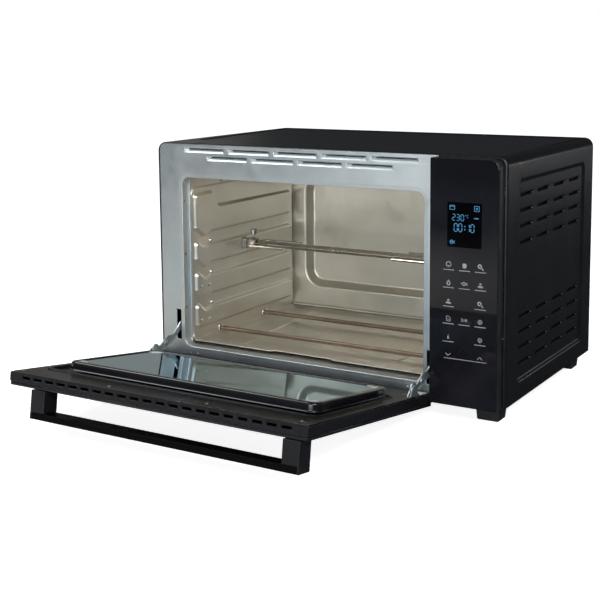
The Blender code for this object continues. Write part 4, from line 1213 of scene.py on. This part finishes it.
def build_inner_plate():
    """The door's inner sheet: a raised ledge and a sunk gutter around the window, and hinge dimples."""
    x, _, z = extent("door_inner_plate", DOOR)
    view = box_shape((0.066, 0.405), (WINDOW_Z[0] + 0.022, WINDOW_Z[1] - 0.022), 0.008)
    ledge = box_shape((0.0175, 0.432), (WINDOW_Z[0] - 0.008, WINDOW_Z[1] + 0.015), 0.012, 8)
    rim = box_shape((0.022, 0.4285), (WINDOW_Z[0] - 0.005, WINDOW_Z[1] + 0.0105), 0.01, 8)
    gutter = emboss(rim, 0.002, -0.0036, [hole(view, 0.0004, INNER_SHEET)], 5, INNER_SHEET)
    raised_ledge = emboss(ledge, 0.0016, 0.0017, [gutter], 6, INNER_SHEET)
    dimples = [emboss(box_shape((a, a + 0.03), (0.016, 0.052), 0.006), 0.003, -0.0014, (), 5, INNER_SHEET)
               for a in (0.05, 0.36)]
    plate = sheet(facing_back(INNER_LEVEL), rounded(x, z, 0.002), [raised_ledge, *dimples], INNER_SHEET)
    add_piece("door_inner_sheet", plate, INNER_BLACK, "door", DOOR, ["door_inner_plate"], angle=60.0)
    places = [(0.0143, 0.3059), (0.1585, 0.3082), (0.3026, 0.3047), (0.4321, 0.305), (0.4295, 0.0448),
              (0.019, 0.0448)]
    add_screws("door_screws", facing_back(INNER_LEVEL), places, DARK, "door", DOOR, 0.0024)


def build_vent_strip():
    """The door's top strip: rounded ends and a row of stepped vent slots near its inner edge."""
    x, y, z = extent("door_vent_strip", DOOR)
    slot_y = (y[1] - 0.0082, y[1] - 0.003)
    slots = []
    for span in spread(0.0242, 0.428, 21, 0.0145):
        outer = box_shape(span, slot_y, 0.0008, 2)
        inner = box_shape((span[0] + 0.0006, span[1] - 0.0006), (slot_y[0] + 0.0003, slot_y[1] - 0.0016),
                          0.0004, 2)
        front = [(outer(0.0004), 0.0), (outer(0.0), -0.0004), (outer(0.0), -0.0012), (inner(0.0), -0.0013),
                 (inner(0.0), -0.003)]
        slots.append({"front": front, "back": [(inner(0.0), -0.004)], "inner": None})
    bm = sheet(facing_up(z[1]), rounded(x, y, 0.003, steps=6), slots, 0.004)
    add_piece("vent_strip", bm, DOOR_BLACK, "door", DOOR, ["door_vent_strip"], bevel=0.0006, angle=50.0)


def build_window():
    """The raised window: a pressed frame with round shoulders and a flared foot, its pane and clips."""
    base = WINDOW_Y[0]
    top = WINDOW_Y[1] - base
    shape = box_shape(WINDOW_X, WINDOW_Z, 0.013, 10)
    shoulder = 0.0034
    profile = [(-shoulder * (1 - math.cos(a)), top - shoulder * (1 - math.sin(a)))
               for a in (math.radians(v) for v in (0, 18, 36, 54, 72, 90))]
    inner = [(-0.006, top), (-0.0066, top - 0.0003), (-0.007, top - 0.001), (-0.0072, top - 0.0018),
             (-0.0105, top - 0.002), (-0.0105, top - 0.0072), (-0.014, top - 0.0072), (-0.014, 0.0)]
    foot = [(0.0012, 0.0), (0.0012, 0.0005), (0.0006, 0.0008), (0.0002, 0.0014), (0.0, 0.0024)]
    sections = [(shape(g), h) for g, h in foot + profile + inner]
    add_piece("window_surround", loft(facing_back(base), sections, True), RIM_BLACK, "door", DOOR,
              ["window_frame"], angle=60.0)
    level = base + top - 0.0012
    pane = slab(facing_back(level), lambda grow: shape(grow - 0.0074), 0.0048, 0.0004)
    add_piece("window_pane", pane, SMOKED_AND_COOL_REFLECTION, "door", DOOR, ["window_glass"], angle=60.0)
    build_clips(level)


def build_clips(level):
    """Bright corner clips that hold the pane."""
    bm = bmesh.new()
    size, inset = 0.0165, 0.0085
    for a, way_a in ((WINDOW_X[0] + inset, 1), (WINDOW_X[1] - inset, -1)):
        for b, way_b in ((WINDOW_Z[0] + inset, 1), (WINDOW_Z[1] - inset, -1)):
            points = [(a, b + way_b * 0.002), (a + way_a * 0.002, b), (a + way_a * size, b),
                      (a + way_a * size, b + way_b * 0.004), (a + way_a * 0.005, b + way_b * 0.012),
                      (a, b + way_b * 0.012)]
            if way_a * way_b < 0:
                points = points[::-1]
            slab(facing_back(level + 0.0007), path_shape(points, 0.0007, 3), 0.0009, 0.0002, bm)
    add_piece("pane_clips", bm, CLIP, "door", DOOR, angle=60.0)


def build_handle():
    """A dark flat bar between end caps, on two box posts, with a seam where they meet."""
    x, y, z = extent("handle_bar", DOOR)
    inner = (x[0] + HANDLE_CAP, x[1] - HANDLE_CAP)
    bar = slab(facing_front(y[0]), box_shape(inner, z, 0.0012, 4), y[1] - y[0], 0.001)
    add_piece("handle_grip", bar, GRIP_BLACK, "door", DOOR, ["handle_bar"], angle=50.0)
    caps = bmesh.new()
    for span in ((x[0], inner[0]), (inner[1], x[1])):
        slab(facing_front(y[0]), box_shape(span, z, 0.0008, 3), y[1] - y[0], 0.0004, caps)
    add_piece("handle_caps", caps, DOOR_BLACK, "door", DOOR, angle=50.0)
    for side, span in (("left", (x[0], 0.069)), ("right", (0.42, x[1]))):
        y, z = extent(f"handle_post_{side}", DOOR)[1:]
        post = slab(facing_front(y[0]), box_shape(span, z, 0.0012, 4), y[1] - y[0], 0.0005)
        add_piece(f"handle_leg_{side}", post, DOOR_BLACK, "door", DOOR, [f"handle_post_{side}"], angle=50.0)


# Hinges

def arm_shape():
    """The arm from its pin along its own length: a raised boss, a hump with a notch and a tail."""
    points = [(0.0, -0.0068), (0.014, -0.01), (0.05, -0.0098), (0.06, -0.0072), (0.083, -0.005),
              (0.0905, -0.0015), (0.0905, 0.004), (0.082, 0.0058), (0.07, 0.0048), (0.06, 0.0008),
              (0.049, -0.002), (0.042, -0.0008), (0.039, 0.0014), (0.034, 0.002), (0.026, 0.0009),
              (0.018, -0.0006), (0.0125, -0.0012), (0.0095, 0.0046), (0.007, 0.007), (0.0022, 0.0075),
              (-0.0016, 0.0058), (-0.0044, 0.002), (-0.006, -0.0026), (-0.004, -0.0056)]
    return path_shape(points, 0.0013, 3)


def build_hinges():
    """Each lever: the notched plate, its bent lower flange, the pin's boss and a pressed cam."""
    for side in ("left", "right"):
        pin = Vector(JOINTS[f"hinge_arm_{side}_turn"]["pos_m"])
        low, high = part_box(f"hinge_arm_{side}")
        face = high.x
        space = Matrix.Translation((0.0, pin.y, pin.z)) @ Matrix.Rotation(math.radians(21.0), 4, "X")
        put = facing_right(face)
        bm = slab(put, arm_shape(), face - low.x, 0.0004)
        boss = [(0.0052, -0.0004), (0.0052, 0.0006), (0.0046, 0.001), (0.003, 0.001), (0.003, 0.0016),
                (0.001, 0.0019)]
        turned(put, (0.0, 0.0), boss, 20, bm=bm)
        cam = [(0.0042, -0.0004), (0.0041, 0.0005), (0.0034, 0.0013), (0.002, 0.0017), (0.0006, 0.0018)]
        turned(put, (0.027, -0.0048), cam, 20, bm=bm)
        flange = [(0.015, -0.01), (0.05, -0.0098), (0.05, -0.0088), (0.015, -0.009)]
        slab(raised(put, 0.0019), path_shape(flange, 0.0003, 2), 0.0021, 0.0002, bm)
        add_piece(f"hinge_lever_{side}", bm, HINGE_STEEL, f"hinge_arm_{side}", space, [f"hinge_arm_{side}"],
                  angle=50.0)


def build_hinge_bases():
    """What the door carries beside each bracket: a bent upright plate, a drilled foot and a dark roller."""
    for side, inner_x, low, way in (("left", SLOT_LEFT[0][1], SLOT_LEFT[1][0], 1),
                                    ("right", SLOT_RIGHT[0][0], SLOT_RIGHT[1][0], -1)):
        holes = [hole(disc_shape(inner_x - way * 0.0035, b, 0.0016, 12), 0.0003, INNER_SHEET)
                 for b in (low + 0.002, low + 0.01)]
        foot = rounded((inner_x - 0.0075, inner_x + 0.0075), (low - 0.004, low + 0.015), 0.002)
        plate = sheet(facing_back(INNER_LEVEL + 0.0012), foot, holes, INNER_SHEET)
        add_piece(f"hinge_foot_{side}", plate, CLIP, "door", DOOR, bevel=0.0002,
                  angle=50.0)
        bent = [(0.0112, low + 0.0292), (0.0112, low + 0.0325), (INNER_LEVEL - 0.0004, low + 0.0432),
                (INNER_LEVEL - 0.0004, low + 0.04)]
        face = inner_x + (0.002 if way < 0 else -0.001)
        upright = slab(facing_right(face), path_shape(bent, 0.0006, 3), 0.001, 0.0002)
        add_piece(f"hinge_upright_{side}", upright, CLIP, "door", DOOR, angle=50.0)
        start = inner_x + (0.001 if way < 0 else -0.01)
        profile = [(0.0012, -0.0002), (0.0019, 0.0), (0.0019, 0.009), (0.0012, 0.0092)]
        roller = turned(facing_right(start), (INNER_LEVEL - 0.0008, low + 0.029), profile, 18)
        add_piece(f"hinge_roller_{side}", roller, RUBBER, "door", DOOR, angle=50.0)


# Studio

CAMERA_AT = Vector((1.086, -1.3716, 0.4596))
CAMERA_TURN = (82.614, 0.503, 31.4096)
LENS = 70.456
SHIFT_Y = -1.0 / 6.0
BACKDROP = (1.0, 1.0, 1.0)
REFLECTED = (0.2, 0.23, 0.25)
REFLECTED_LOW = (0.035, 0.04, 0.045)
REFLECTED_LEFT = (0.34, 0.32, 0.29)
AMBIENT = (0.3, 0.31, 0.32)
FLOOR_GLOW = 0.86


def build_camera():
    data = bpy.data.cameras.new("camera")
    data.lens = LENS
    data.sensor_width = 36.0
    data.shift_y = SHIFT_Y
    data.clip_end = 50.0
    camera = bpy.data.objects.new("camera", data)
    camera.location = OVEN @ CAMERA_AT
    camera.rotation_euler = [math.radians(v) for v in CAMERA_TURN]
    bpy.context.scene.collection.objects.link(camera)
    bpy.context.scene.camera = camera


def area_light(name, place, target, size, power, colour=(1.0, 1.0, 1.0)):
    data = bpy.data.lights.new(name, "AREA")
    data.shape = "RECTANGLE"
    data.size, data.size_y = size
    data.energy = power
    data.color = colour
    light = bpy.data.objects.new(name, data)
    light.location = place
    light.rotation_euler = (Vector(target) - Vector(place)).to_track_quat("-Z", "Y").to_euler()
    bpy.context.scene.collection.objects.link(light)


def reflected_room(world):
    """What mirrors see: dark low down, a soft grey towards the back and a brighter patch far to the left."""
    direction = node(world, "ShaderNodeTexCoord")
    split = node(world, "ShaderNodeSeparateXYZ")
    join(world, direction.outputs["Generated"], split.inputs["Vector"])
    room = None
    for axis, start, end, tone in (("X", -0.54, -0.6, REFLECTED_LEFT), ("Y", 0.4, 0.0, REFLECTED)):
        ramp = node(world, "ShaderNodeMapRange", {"From Min": start, "From Max": end})
        join(world, split.outputs[axis], ramp.inputs["Value"])
        mixed = node(world, "ShaderNodeMix", data_type="RGBA")
        mixed.inputs[MIX_A].default_value = (*REFLECTED_LOW, 1.0)
        mixed.inputs[MIX_B].default_value = (*tone, 1.0)
        join(world, ramp.outputs["Result"], mixed.inputs[MIX_FACTOR])
        if room is not None:
            join(world, room, mixed.inputs[MIX_A])
        room = mixed.outputs[MIX_RESULT]
    return room


def build_world():
    """White behind the object, the room in its reflections and a soft ambient on everything else."""
    world = bpy.data.worlds.new("studio")
    bpy.context.scene.world = world
    world.use_nodes = True
    world.node_tree.nodes.clear()
    path = node(world, "ShaderNodeLightPath")
    tones = [node(world, "ShaderNodeBackground", {"Color": (*level, 1.0)})
             for level in (AMBIENT, REFLECTED, BACKDROP)]
    join(world, reflected_room(world), tones[1].inputs["Color"])
    shade = tones[0].outputs["Background"]
    for tone, label in zip(tones[1:], ("Is Glossy Ray", "Is Camera Ray")):
        mix = node(world, "ShaderNodeMixShader")
        join(world, path.outputs[label], mix.inputs["Fac"])
        join(world, shade, mix.inputs[1])
        join(world, tone.outputs["Background"], mix.inputs[2])
        shade = mix.outputs["Shader"]
    join(world, shade, node(world, "ShaderNodeOutputWorld").inputs["Surface"])


def build_floor():
    """A pale floor that is bright to the eye and darker in the reflections, where it carries a painted pool of
    light around a spot to the front left of the oven.
    """
    bm = bmesh.new()
    bm.faces.new([bm.verts.new((x, y, 0.0)) for x, y in ((-30, -30), (30, -30), (30, 30), (-30, 30))])
    mesh = bpy.data.meshes.new("floor")
    bm.to_mesh(mesh)
    bm.free()
    floor = bpy.data.objects.new("floor", mesh)
    bpy.context.scene.collection.objects.link(floor)
    material = new_material("studio_floor", (0.8, 0.8, 0.8), 0.9)
    path = node(material, "ShaderNodeLightPath")
    glow = node(material, "ShaderNodeMath", operation="MULTIPLY")
    glow.inputs[1].default_value = FLOOR_GLOW
    join(material, path.outputs["Is Camera Ray"], glow.inputs[0])
    shader = shader_of(material)
    shader.inputs["Emission Color"].default_value = (1.0, 1.0, 1.0, 1.0)
    shader.inputs["Specular IOR Level"].default_value = 0.0
    join(material, glow.outputs["Value"], shader.inputs["Emission Strength"])
    # Painted light: in reflections the floor is bright near a spot to the front left and fades to dark further
    # off.
    place = node(material, "ShaderNodeTexCoord")
    far = node(material, "ShaderNodeVectorMath", operation="DISTANCE")
    far.inputs[1].default_value = (-0.65, -0.6, 0.0)
    join(material, place.outputs["Object"], far.inputs[0])
    painted_pool_falloff = remap(material, far.outputs["Value"], 0.0, 1.0, 0.35, 0.95)
    painted_light_pool = blend(material, painted_pool_falloff, (0.72, 0.7, 0.65), (0.05, 0.06, 0.07))
    set_colour(material, blend(material, path.outputs["Is Glossy Ray"], (0.8, 0.8, 0.8), painted_light_pool))
    mesh.materials.append(material)


def build_studio():
    bpy.context.scene.view_settings.view_transform = "Standard"
    build_camera()
    build_world()
    build_floor()
    area_light("key", (1.6, -1.5, 1.9), (0.0, 0.0, 0.15), (1.4, 1.0), 40.0)
    area_light("front", (0.3, -2.4, 0.42), (0.0, 0.0, 0.2), (1.7, 0.6), 26.0, (0.94, 0.98, 1.0))
    area_light("left_top", (-1.3, -0.55, 1.75), (-0.05, 0.0, 0.2), (0.9, 0.9), 15.0)
    area_light("rear_right", (1.75, 3.0, 0.25), (0.275, 0.1, 0.25), (0.5, 0.4), 1.7)
    area_light("cavity", OVEN @ Vector((0.24, 0.022, 0.264)), OVEN @ Vector((0.24, 0.22, 0.06)),
               (0.34, 0.03), 0.22, (1.0, 0.93, 0.82))


dress_cad()
build_studio()
build_casing()
build_vent_shade_sheets()
build_rear_cover()
build_base_plate()
build_feet()
build_front_frame()
build_side_walls()
build_wall_returns()
build_back_wall()
build_back_lip()
build_roof()
build_tray()
build_floor_lip()
build_heaters()
build_spit_support()
build_panel()
build_panel_seal()
build_door_glass()
build_door_frame()
build_inner_plate()
build_vent_strip()
build_window()
build_handle()
build_hinges()
build_hinge_bases()
